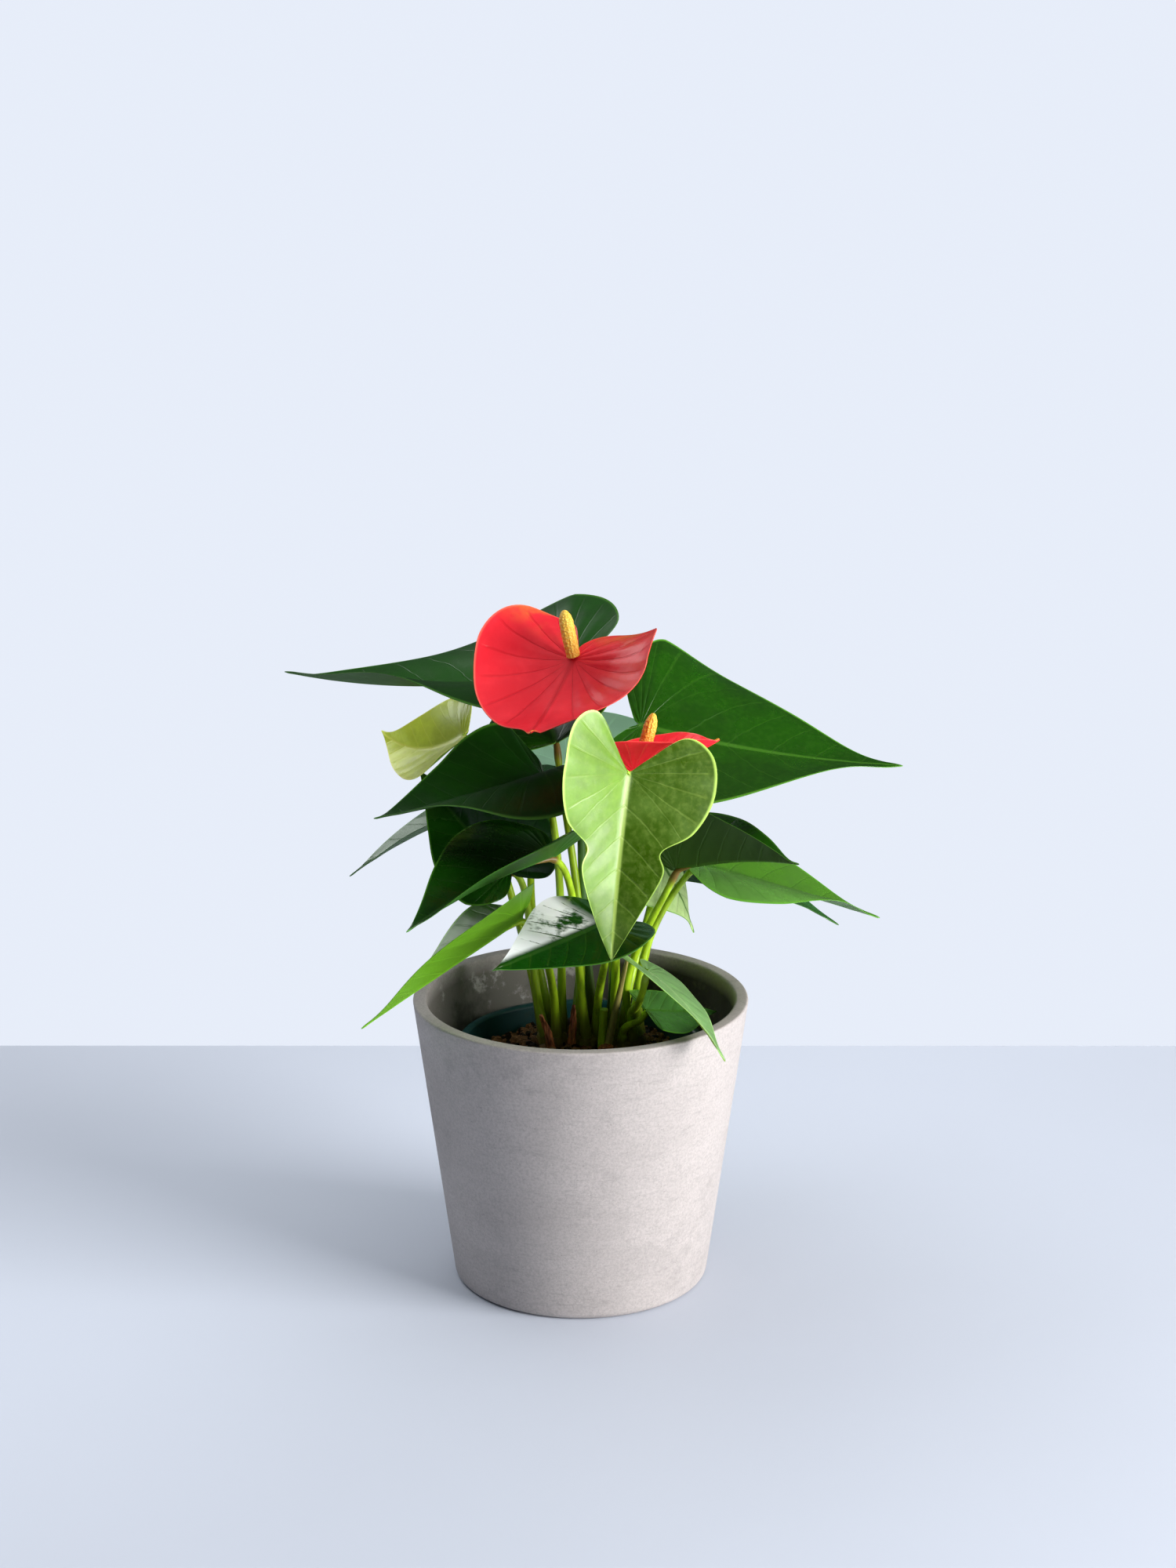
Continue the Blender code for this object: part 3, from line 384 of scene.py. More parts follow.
def sheet(blade, rows, columns, thickness, relief, wave, vein_count):
    """A leaf or spathe as a closed sheet on a grid of two parameters.

    One runs round the edge from base to tip, the other across from edge to edge. Lines of the
    first 42 percent fan out from the base into the lobes, the rest start along the midrib. The
    flat point is bent into place, then moved along the normal by the relief and by half the
    thickness, which thins towards the edge and swells under the midrib.
    """
    edge = spline(OUTLINES[blade.outline], rows)
    along = np.clip((np.linspace(0, 1, rows) - FAN_SHARE) / (1 - FAN_SHARE), 0, 1)[:, None]
    across = np.linspace(-1, 1, 2 * columns + 1)
    across = np.sign(across) * np.abs(across) ** 0.85
    away = np.abs(across)
    u = along * (1 - away) + edge[:, :1] * away
    v = edge[:, 1:] * across
    key = np.round(np.stack([u, v], -1).reshape(-1, 2), 6)
    _, first, merged = np.unique(key, axis=0, return_index=True, return_inverse=True)
    merged = merged.reshape(u.shape)
    u, v = u.ravel()[first], v.ravel()[first]
    away = np.broadcast_to(away, merged.shape).ravel()[first]
    round_edge = np.broadcast_to(np.linspace(0, 1, rows)[:, None], merged.shape).ravel()[first]
    lobes = np.where(v >= 0, blade.lobes[0], blade.lobes[1])
    x = np.where(u < 0, u * lobes, u) * blade.length
    y = v * blade.half_width
    points = bent(blade, x, y)

    quads = np.stack([merged[:-1, :-1], merged[1:, :-1], merged[1:, 1:], merged[:-1, 1:]], -1).reshape(-1, 4)
    faces = np.vstack([quads[:, [0, 1, 2]], quads[:, [0, 2, 3]]])
    whole = (faces[:, 0] != faces[:, 1]) & (faces[:, 1] != faces[:, 2]) & (faces[:, 0] != faces[:, 2])
    faces = faces[whole]
    _, _, _, up = midrib_frame(blade, x)
    corners = points[faces]
    area = np.cross(corners[:, 1] - corners[:, 0], corners[:, 2] - corners[:, 0])
    if (area * up[faces].mean(1)).sum() < 0:
        faces = faces[:, ::-1]
        area = -area
    normals = np.zeros_like(points)
    for k in range(3):
        np.add.at(normals, faces[:, k], area)
    normals = unit(normals)

    aspect = blade.half_width / blade.length
    veins = vein_height(u, v, aspect, vein_count)
    fade = np.clip(away * 4, 0, 1) * np.clip((1 - away) * 6, 0, 1)
    side = np.where(v >= 0, 0.0, 1.7)
    ripple = np.sin(2 * np.pi * (round_edge * RUFFLES + side))
    ruffle = wave * away**3 * ripple * np.sin(np.pi * round_edge) ** 0.5
    lift = relief * (0.5 - veins) * fade + ruffle
    rib = np.exp(-((y / 1.3) ** 2)) * np.clip(1.15 - u, 0, 1) * np.clip(u * 6 + 1, 0, 1)
    half = 0.5 * thickness * (1 - 0.55 * away**4)
    top = points + normals * (lift + half + 0.15 * rib)[:, None]
    under = points + normals * (lift - half - 0.75 * rib)[:, None]

    count = len(points)
    start, end = faces.ravel(), np.roll(faces, -1, axis=1).ravel()
    open_edge = ~np.isin(start * count + end, end * count + start)
    start, end = start[open_edge], end[open_edge]
    wall = np.vstack([
        np.stack([end, start, start + count], 1),
        np.stack([end, start + count, end + count], 1),
    ])
    closed = np.vstack([faces, faces[:, ::-1] + count, wall])
    values = {
        "away": np.tile(away, 2),
        "under": np.repeat([0.0, 1.0], count),
    }
    return np.vstack([top, under]), closed, (np.tile(u, 2), np.tile(v, 2)), values


def ring_faces(rings, sides, pole):
    """Faces between rings of points in their order, and fans that close the ends at pole and pole + 1."""
    i = np.arange(sides)
    j = (i + 1) % sides
    low = (np.arange(rings - 1) * sides)[:, None]
    last = (rings - 1) * sides
    return np.vstack([
        np.stack([low + i, low + sides + i, low + sides + j], -1).reshape(-1, 3),
        np.stack([low + i, low + sides + j, low + j], -1).reshape(-1, 3),
        np.stack([np.full(sides, pole), i, j], 1),
        np.stack([np.full(sides, pole + 1), last + j, last + i], 1),
    ])


def tube(path, radii, sides):
    """A closed tube: each ring of sides points is square to the path and its frame is carried along.

    Point = path + radius * (cos angle * side + sin angle * other), with a cap at each end.
    """
    count = len(path)
    tangents = unit(np.gradient(path, axis=0))
    side = np.cross(tangents[0], (0.0, 1.0, 0.3))
    carried = []
    for tangent in tangents:
        side = side - tangent * np.dot(side, tangent)
        side = side / np.linalg.norm(side)
        carried.append(side)
    carried = np.array(carried)
    other = np.cross(tangents, carried)
    angles = np.linspace(0, 2 * np.pi, sides, endpoint=False)[None, :, None]
    radii = np.asarray(radii, float)
    radii = radii[:, None] if radii.ndim == 1 else radii
    ring = np.cos(angles) * carried[:, None] + np.sin(angles) * other[:, None]
    points = (path[:, None] + np.broadcast_to(radii, (count, sides))[..., None] * ring).reshape(-1, 3)
    points = np.vstack([points, path[:1], path[-1:]])
    along = np.append(np.repeat(np.linspace(0, 1, count), sides), [0.0, 1.0])
    return points, ring_faces(count, sides, count * sides), {"along": along}


def turned(profile, segments):
    """A solid of revolution: each radius and height of the profile is a ring, its ends are on the axis."""
    profile = np.asarray(profile, float)
    angles = np.linspace(0, 2 * np.pi, segments, endpoint=False)
    rings = profile[1:-1]
    x = rings[:, :1] * np.cos(angles)
    y = rings[:, :1] * np.sin(angles)
    z = np.broadcast_to(rings[:, 1:], x.shape)
    points = np.stack([x, y, z], -1).reshape(-1, 3)
    points = np.vstack([points, [[0, 0, profile[0, 1]], [0, 0, profile[-1, 1]]]])
    return points, ring_faces(len(rings), segments, len(points) - 2)


def rounded(corners, radii, steps):
    """The line of corners with each one replaced by a short curve, a quadratic of that reach."""
    corners = np.asarray(corners, float)
    line = [corners[0]]
    share = np.linspace(0, 1, steps)[:, None]
    for before, corner, after, radius in zip(corners[:-2], corners[1:-1], corners[2:], radii):
        start = corner + unit(before - corner) * radius
        end = corner + unit(after - corner) * radius
        line.extend((1 - share) ** 2 * start + 2 * share * (1 - share) * corner + share**2 * end)
    line.append(corners[-1])
    return np.array(line)


def outward(points, faces):
    """The faces, turned round where the signed volume they enclose is negative."""
    corners = points[faces]
    volume = np.einsum("ij,ij->i", corners[:, 0], np.cross(corners[:, 1], corners[:, 2])).sum()
    return faces[:, ::-1] if volume < 0 else faces


def piece(name, points, faces, finish, replaces=(), uv=None, values=None, sharp=50.0):
    """Puts whole arrays, in millimetres, into one mesh that rides on the part and takes the finish."""
    if not np.isfinite(points).all():
        raise RuntimeError(f"{name} has a point that is not a number")
    faces = outward(points, faces)
    mesh = bpy.data.meshes.new(name)
    mesh.from_pydata((np.asarray(points) * MM).tolist(), [], faces.tolist())
    mesh.update()
    for key, value in (values or {}).items():
        attribute = mesh.attributes.new(key, "FLOAT", "POINT")
        attribute.data.foreach_set("value", np.asarray(value, np.float32))
    if uv is not None:
        corner = np.zeros(len(mesh.loops), np.int32)
        mesh.loops.foreach_get("vertex_index", corner)
        layer = mesh.uv_layers.new(name="blade")
        layer.data.foreach_set("uv", np.stack([uv[0][corner], uv[1][corner]], 1).astype(np.float32).ravel())
    mesh.shade_smooth()
    mesh.set_sharp_from_angle(angle=math.radians(sharp))
    mesh.materials.append(finish)
    made = bpy.data.objects.new(name, mesh)
    bpy.context.scene.collection.objects.link(made)
    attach(made, "root")
    if replaces:
        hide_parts(*replaces)
    return made


# ---------------------------------------------------------------- finishes


def toned(colour, share, most=math.inf):
    """The colour with each part multiplied by the share, up to the most that a part may be."""
    return tuple(min(most, share * part) for part in colour)


class Finish:
    """A material's node tree, with short calls for the nodes that the finishes share."""

    def __init__(self, name):
        self.material = bpy.data.materials.new(name)
        self.material.use_nodes = True
        self.tree = self.material.node_tree
        self.shader = self.tree.nodes["Principled BSDF"]

    def plug(self, socket, value):
        if isinstance(value, bpy.types.NodeSocket):
            self.tree.links.new(value, socket)
        elif isinstance(value, tuple) and len(value) == 3 and socket.type == "RGBA":
            socket.default_value = (*value, 1.0)
        else:
            socket.default_value = value

    def set(self, **values):
        for key, value in values.items():
            self.plug(self.shader.inputs[key.replace("_", " ")], value)

    def math(self, operation, a, b=0.0):
        node = self.tree.nodes.new("ShaderNodeMath")
        node.operation = operation
        self.plug(node.inputs[0], a)
        self.plug(node.inputs[1], b)
        return node.outputs[0]

    def mix(self, factor, a, b):
        node = self.tree.nodes.new("ShaderNodeMix")
        node.data_type = "RGBA"
        self.plug(node.inputs["Factor"], factor)
        self.plug(node.inputs[6], a)
        self.plug(node.inputs[7], b)
        return node.outputs[2]

    def steps(self, value, low, high, to_low=0.0, to_high=1.0):
        """Smooth change from to_low at low to to_high at high."""
        node = self.tree.nodes.new("ShaderNodeMapRange")
        node.interpolation_type = "SMOOTHSTEP"
        self.plug(node.inputs["Value"], value)
        node.inputs["From Min"].default_value = low
        node.inputs["From Max"].default_value = high
        node.inputs["To Min"].default_value = to_low
        node.inputs["To Max"].default_value = to_high
        return node.outputs["Result"]

    def place(self, scale=(1.0, 1.0, 1.0)):
        """Object coordinates, stretched."""
        source = self.tree.nodes.new("ShaderNodeTexCoord")
        node = self.tree.nodes.new("ShaderNodeMapping")
        node.inputs["Scale"].default_value = scale
        self.tree.links.new(source.outputs["Object"], node.inputs["Vector"])
        return node.outputs["Vector"]

    def noise(self, scale, detail=4.0, rough=0.55, stretch=(1.0, 1.0, 1.0)):
        node = self.tree.nodes.new("ShaderNodeTexNoise")
        node.inputs["Scale"].default_value = scale
        node.inputs["Detail"].default_value = detail
        node.inputs["Roughness"].default_value = rough
        self.plug(node.inputs["Vector"], self.place(stretch))
        return node.outputs["Fac"]

    def cells(self, scale):
        node = self.tree.nodes.new("ShaderNodeTexVoronoi")
        node.inputs["Scale"].default_value = scale
        self.plug(node.inputs["Vector"], self.place())
        return node

    def value(self, name):
        node = self.tree.nodes.new("ShaderNodeAttribute")
        node.attribute_name = name
        return node.outputs["Fac"]

    def blade_uv(self):
        node = self.tree.nodes.new("ShaderNodeUVMap")
        node.uv_map = "blade"
        split = self.tree.nodes.new("ShaderNodeSeparateXYZ")
        self.tree.links.new(node.outputs["UV"], split.inputs["Vector"])
        return split.outputs["X"], split.outputs["Y"]

    def bump(self, height, distance, strength=1.0):
        node = self.tree.nodes.new("ShaderNodeBump")
        node.inputs["Strength"].default_value = strength
        node.inputs["Distance"].default_value = distance
        self.plug(node.inputs["Height"], height)
        self.plug(self.shader.inputs["Normal"], node.outputs["Normal"])
        return self

    def off_line(self, value):
        """Distance of the value from the nearest whole number."""
        share = self.math("FRACT", self.math("ADD", value, 0.5))
        return self.math("ABSOLUTE", self.math("SUBTRACT", share, 0.5))

    def veins(self, length, half_width, count):
        """Masks of the midrib and of the side veins, 1 on a vein, then the place on the blade.

        The same lines as vein_height: even lines that lean forward ahead of the base, and spokes
        behind it.
        """
        u, v = self.blade_uv()
        a = self.math("ABSOLUTE", v)
        lean = self.math("MULTIPLY", a, self.math("ADD", self.math("MULTIPLY", a, VEIN_BOW), VEIN_LEAN))
        phase = self.math("MULTIPLY", self.math("SUBTRACT", u, lean), float(count))
        wobble = self.math("SUBTRACT", self.noise(90.0, 2.0), 0.5)
        near = self.off_line(self.math("ADD", phase, self.math("MULTIPLY", wobble, 0.22)))
        thin = 0.22 / length * max(count, 1)
        side = self.steps(near, thin, thin * 3.0, 1.0, 0.0)
        turn = self.math("ARCTAN2", self.math("MULTIPLY", a, half_width / length), u)
        spokes = self.math("MULTIPLY", turn, SPOKES / math.pi)
        off = self.off_line(self.math("ADD", spokes, self.math("MULTIPLY", wobble, 0.15)))
        spoke = self.steps(off, 0.02, 0.07, 1.0, 0.0)
        ahead = self.steps(phase, -0.3, 0.3) if count else 0.0
        behind = self.math("MULTIPLY", spoke, self.math("SUBTRACT", 1.0, ahead))
        both = self.math("ADD", self.math("MULTIPLY", side, ahead), behind)
        away = self.value("away")
        both = self.math("MULTIPLY", both, self.steps(away, 0.86, 0.96, 1.0, 0.15))
        wide = 1.1 / half_width
        taper = self.steps(u, 0.2, 1.1, 1.0, 0.45)
        rib = self.steps(self.math("DIVIDE", a, taper), wide * 0.5, wide * 1.6, 1.0, 0.0)
        rib = self.math("MULTIPLY", rib, self.steps(u, -0.05, 0.0))
        return rib, both, away, u, v


def leaf_finish(blade, look):
    """Waxy leaf: two greens mottled by noise, paler veins and edge, a matt paler underside."""
    f = Finish("finish_" + blade.name)
    rib, side, away, u, v = f.veins(blade.length, blade.half_width, LEAF_VEINS)
    half = f.steps(v, -0.04, 0.04)
    half = f.math("MAXIMUM", half, f.steps(u, 0.45, 0.95, 0.0, 0.6))
    top = f.mix(half, look.right, look.left)
    patch = f.noise(38.0, 5.0, 0.6)
    top = f.mix(f.steps(patch, 0.38, 0.66, 0.0, 0.6), top, toned(look.right, 0.5))
    fine = f.noise(420.0, 3.0, 0.6)
    top = f.mix(f.steps(fine, 0.4, 0.7, 0.0, 0.14), top, look.veins)
    top = f.mix(f.math("MULTIPLY", side, 0.55 * look.vein_strength), top, look.veins)
    top = f.mix(f.math("MULTIPLY", rib, min(1.0, 0.5 + look.vein_strength)), top, look.veins)
    rim = f.steps(away, 0.955, 0.99, 0.0, 0.75)
    pale = tuple(min(1.0, base + 1.6 * c) for base, c in zip((0.05, 0.13, 0.01), look.veins))
    top = f.mix(rim, top, pale)
    if look.film:
        # A painted pale film, in place of a mirrored sky: torn patches over the right half.
        torn = f.math("ADD", f.noise(75.0, 6.0, 0.62), f.math("MULTIPLY", side, -0.10))
        reach = f.math("MULTIPLY", f.steps(v, -0.04, -0.16), f.steps(u, 1.0, 0.86))
        reach = f.math("MULTIPLY", reach, f.steps(u, -0.05, 0.15))
        film = f.math("MULTIPLY", f.steps(torn, 0.36, 0.48), reach)
        top = f.mix(f.math("MULTIPLY", film, look.film), top, (0.92, 0.97, 0.97))
    back = f.mix(f.math("MULTIPLY", side, 0.4), look.under, toned(look.under, 1.4))
    back = f.mix(rib, back, toned(look.under, 1.8))
    under = f.value("under")
    colour = f.mix(f.steps(under, 0.4, 0.6), top, back)
    rough = f.steps(patch, 0.3, 0.8, look.roughness, look.roughness + 0.14)
    rough = f.math("ADD", rough, f.steps(under, 0.4, 0.6, 0.0, 0.22))
    f.set(Base_Color=colour, Roughness=rough, Specular_IOR_Level=0.4, Coat_Weight=0.04, Coat_Roughness=0.08)
    f.set(Subsurface_Weight=0.06, Subsurface_Radius=(0.4, 1.0, 0.2), Subsurface_Scale=0.001)
    f.set(Emission_Color=colour, Emission_Strength=LIT_THROUGH.get(blade.name, 0.0))
    height = f.math("ADD", f.math("MULTIPLY", side, -0.5), f.math("MULTIPLY", f.noise(230.0, 4.0, 0.6), 0.5))
    return f.bump(height, 0.0004, 0.5).material


def spathe_finish(blade, colours):
    """Glossy red bract: darker sunken veins, a yellow tip and edge, fine pale speckle."""
    red, vein, glow = colours
    f = Finish("finish_" + blade.name)
    rib, side, away, u, _ = f.veins(blade.length, blade.half_width, 0)
    patch = f.noise(55.0, 5.0, 0.62)
    top = f.mix(f.steps(patch, 0.35, 0.75), red, tuple(min(1.0, 1.15 * c + 0.012) for c in red))
    top = f.mix(f.math("MULTIPLY", side, 0.32), top, vein)
    top = f.mix(f.math("MULTIPLY", rib, 0.45), top, vein)
    blush = f.math("MULTIPLY", f.steps(u, -0.1, -0.4), f.steps(f.noise(70.0), 0.42, 0.62))
    top = f.mix(f.math("MULTIPLY", blush, 0.35), top, (0.55, 0.30, 0.03))
    tip = f.steps(u, 0.93, 1.0)
    top = f.mix(tip, top, (0.75, 0.50, 0.05))
    top = f.mix(f.steps(away, 0.97, 0.998, 0.0, 0.5), top, (0.95, 0.25, 0.16))
    under = f.value("under")
    back = f.mix(f.math("MULTIPLY", side, 0.4), red, (0.95, 0.10, 0.05))
    colour = f.mix(f.steps(under, 0.4, 0.6), top, back)
    f.set(Base_Color=colour, Roughness=f.steps(patch, 0.3, 0.8, 0.3, 0.42), Specular_IOR_Level=0.16)
    # The glow stands for daylight that comes through the thin bract from above.
    f.set(Emission_Color=colour, Emission_Strength=glow)
    f.set(Coat_Weight=0.08, Coat_Roughness=0.1, Subsurface_Weight=0.12, Subsurface_Radius=(1.0, 0.2, 0.1))
    f.set(Subsurface_Scale=0.001)
    height = f.math("ADD", f.math("MULTIPLY", side, -0.5), f.math("MULTIPLY", f.noise(160.0, 4.0, 0.6), 0.7))
    return f.bump(height, 0.0006, 0.6).material


def stalk_finish(name, green, joint, foot):
    """Smooth stalk: long faint streaks, another colour at the joint below the blade and at the foot."""
    f = Finish(name)
    along = f.value("along")
    streaks = f.noise(260.0, 3.0, 0.6, (1.0, 1.0, 0.06))
    colour = f.mix(f.steps(streaks, 0.35, 0.7), green, toned(green, 0.62))
    colour = f.mix(f.steps(along, 0.90, 0.97, 0.0, 0.9), colour, joint)
    colour = f.mix(f.steps(along, 0.16, 0.0, 0.0, 0.85), colour, foot)
    f.set(Base_Color=colour, Roughness=0.36, Specular_IOR_Level=0.35, Subsurface_Weight=0.1)
    f.set(Subsurface_Radius=(0.5, 1.0, 0.2), Subsurface_Scale=0.001)
    return f.bump(streaks, 0.0003, 0.4).material


def spadix_finish():
    """Fleshy yellow spike: a close pattern of small round florets, paler at their tops."""
    f = Finish("finish_spadix")
    dots = f.cells(1100.0).outputs["Distance"]
    colour = f.mix(f.steps(dots, 0.1, 0.75), (0.98, 0.70, 0.13), (0.92, 0.48, 0.04))
    colour = f.mix(f.steps(f.noise(150.0), 0.4, 0.7, 0.0, 0.3), colour, (0.98, 0.62, 0.08))
    f.set(Base_Color=colour, Roughness=0.55, Subsurface_Weight=0.15, Subsurface_Radius=(1.0, 0.6, 0.2))
    f.set(Subsurface_Scale=0.001)
    return f.bump(f.math("SUBTRACT", 1.0, dots), 0.0005, 0.8).material


def stone_finish(colour):
    """Cast stone: grey with grain, clouds and scuffs. Inside it is stained, and painted shade makes it much
    darker on the right.
    """
    f = Finish("finish_planter")
    dark = toned(colour, 0.72)
    cloud = f.noise(22.0, 6.0, 0.6, (1.0, 1.0, 1.8))
    tone = f.mix(f.steps(cloud, 0.35, 0.68, 0.0, 0.3), colour, dark)
    grain = f.noise(900.0, 3.0, 0.7)
    tone = f.mix(f.steps(grain, 0.35, 0.7, 0.0, 0.7), tone, toned(colour, 0.70))
    speck = f.noise(2400.0, 2.0, 0.5)
    tone = f.mix(f.steps(speck, 0.62, 0.72, 0.0, 0.5), tone, toned(colour, 1.35, 1.0))
    scuff = f.noise(70.0, 8.0, 0.8, (1.0, 1.0, 7.0))
    tone = f.mix(f.steps(scuff, 0.50, 0.72, 0.0, 0.5), tone, toned(colour, 0.55))
    broad = f.steps(f.noise(16.0, 5.0, 0.7), 0.48, 0.66)
    broken = f.steps(f.noise(110.0, 6.0, 0.8), 0.4, 0.65)
    smudge = f.math("MULTIPLY", broad, broken)
    tone = f.mix(f.math("MULTIPLY", smudge, 0.45), tone, toned(colour, 0.5))
    pits = f.cells(420.0).outputs["Distance"]
    pit = f.math("MULTIPLY", f.steps(pits, 0.16, 0.08), f.steps(f.noise(130.0), 0.5, 0.6))
    tone = f.mix(f.math("MULTIPLY", pit, 0.6), tone, toned(colour, 0.45))
    inside = f.value("inside")
    lime = f.noise(48.0, 8.0, 0.7)
    across = f.tree.nodes.new("ShaderNodeSeparateXYZ")
    f.tree.links.new(f.place(), across.inputs["Vector"])
    # Painted shade: the inner wall turns far darker on the right, the side that faces away from the light.
    right = f.steps(across.outputs["X"], -0.02, 0.03)
    damp_and_shade = f.mix(right, (0.20, 0.19, 0.17), (0.035, 0.033, 0.016))
    chalk_and_shade = f.mix(right, (0.52, 0.50, 0.48), (0.09, 0.08, 0.05))
    stain = f.noise(30.0, 6.0, 0.65)
    wet_and_shade = f.mix(f.steps(stain, 0.48, 0.62, 0.0, 0.7), damp_and_shade, toned((1.0, 0.95, 0.85), 0.06))
    wet_and_shade = f.mix(f.steps(lime, 0.53, 0.62), wet_and_shade, chalk_and_shade)
    tone = f.mix(inside, tone, wet_and_shade)
    f.set(Base_Color=tone, Roughness=f.steps(cloud, 0.3, 0.7, 0.55, 0.72), Specular_IOR_Level=0.35)
    height = f.math("ADD", f.math("MULTIPLY", grain, 0.6), f.math("MULTIPLY", scuff, 0.6))
    return f.bump(height, 0.0003, 0.45).material


def plastic_finish(colour):
    """Thin moulded plastic: dark green-blue with a faint haze and dust."""
    f = Finish("finish_nursery")
    dust = f.noise(120.0, 6.0, 0.65)
    tone = f.mix(f.steps(dust, 0.5, 0.75, 0.0, 0.3), colour, (0.03, 0.05, 0.035))
    f.set(Base_Color=tone, Roughness=f.steps(dust, 0.3, 0.8, 0.32, 0.6), Specular_IOR_Level=0.3)
    return f.bump(dust, 0.0002, 0.3).material


def soil_finish(name, warm, dark):
    """Loose mix: warm and dark crumbs from cell colours, with a rough broken surface."""
    f = Finish(name)
    cells = f.cells(210.0)
    tint = f.mix(f.steps(f.noise(95.0, 6.0, 0.7), 0.34, 0.50), warm, dark)
    tint = f.mix(f.steps(cells.outputs["Distance"], 0.2, 0.9, 0.0, 0.5), tint, toned(dark, 0.5))
    tint = f.mix(f.steps(f.noise(1500.0, 2.0), 0.5, 0.7, 0.0, 0.4), tint, toned(warm, 1.5, 1.0))
    f.set(Base_Color=tint, Roughness=0.93, Specular_IOR_Level=0.25)
    return f.bump(f.noise(700.0, 5.0, 0.7), 0.0008, 0.7).material


def dry_finish():
    """Papery brown sheath with long dark fibres."""
    f = Finish("finish_dry")
    fibres = f.noise(300.0, 5.0, 0.7, (1.0, 1.0, 0.12))
    tone = f.mix(f.steps(fibres, 0.35, 0.65), (0.50, 0.17, 0.05), (0.14, 0.035, 0.012))
    f.set(Base_Color=tone, Roughness=0.75)
    return f.bump(fibres, 0.0006, 0.8).material


def stage_finish(name, colour):
    """Smooth matt board: faint clouds, and painted light and shade that make it a little lighter towards the
    back and the left and darker towards the front and the right.
    """
    f = Finish(name)
    split = f.tree.nodes.new("ShaderNodeSeparateXYZ")
    f.tree.links.new(f.place(), split.inputs["Vector"])
    lean = f.math("SUBTRACT", split.outputs["X"], split.outputs["Y"])
    # Painted light and shade: a little lighter towards the back and left, darker towards the front and
    # right.
    painted_shade = f.steps(lean, -0.22, 0.28)
    tone = f.mix(painted_shade, toned(colour, 1.08, 1.0), toned(colour, 0.92))
    tone = f.mix(f.steps(f.noise(3.0, 4.0, 0.5), 0.3, 0.7, 0.0, 0.04), tone, (0.3, 0.3, 0.32))
    f.set(Base_Color=tone, Roughness=0.55, Specular_IOR_Level=0.3)
    return f.material


# ---------------------------------------------------------------- sizes and colours a user can change


def colour_setting(name, description, default):
    return FloatVectorProperty(name=name, description=description, subtype="COLOR", default=default)


class AnthuriumPlanter(bpy.types.PropertyGroup):
    """Planter and nursery pot."""

    segments: IntProperty(name="Segments", description="Faces round the planter", default=192, min=48)
    rim_rounding: FloatProperty(
        name="Rim rounding", description="Softness of the rim's edges, in millimetres", default=1.2, min=0.1
    )
    stone: colour_setting("Stone", "Main colour of the planter", (0.51, 0.470, 0.455))
    plastic: colour_setting("Plastic", "Colour of the nursery pot", (0.003, 0.050, 0.052))


class AnthuriumMix(bpy.types.PropertyGroup):
    """Potting mix."""

    granules: IntProperty(name="Granules", description="Number of loose granules", default=1500, min=0)
    granule_size: FloatProperty(
        name="Granule size", description="Usual width of a granule", default=0.0036, unit="LENGTH"
    )
    warm: colour_setting("Warm", "Light crumbs", (0.34, 0.17, 0.065))
    dark: colour_setting("Dark", "Dark crumbs", (0.012, 0.007, 0.003))


class AnthuriumPlant(bpy.types.PropertyGroup):
    """Leaves, flowers and stalks."""

    leaf_rows: IntProperty(name="Leaf rows", description="Grid lines from base to tip", default=84, min=12)
    leaf_columns: IntProperty(
        name="Leaf columns", description="Grid lines from midrib to edge", default=20, min=4
    )
    leaf_thickness: FloatProperty(
        name="Leaf thickness", description="Thickness of a leaf", default=0.00055, unit="LENGTH"
    )
    vein_relief: FloatProperty(
        name="Vein relief", description="Depth of the leaf's veins", default=0.00022, unit="LENGTH"
    )
    stalk: colour_setting("Stalk", "Colour of the stalks", (0.42, 0.66, 0.02))


class AnthuriumStage(bpy.types.PropertyGroup):
    """Table, camera and light."""

    table: colour_setting("Table", "Colour of the table", (0.62, 0.67, 0.77))
    wall: colour_setting("Wall", "Colour of the space behind", (0.80, 0.85, 0.95))
    key_power: FloatProperty(
        name="Key light", description="Strength of the main soft light", default=50.0, min=0.0
    )


# ---------------------------------------------------------------- operators


def size_of(node):
    """Lowest and highest corner of a node of the part, in millimetres."""
    low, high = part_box(node)
    return np.array(low) / MM, np.array(high) / MM


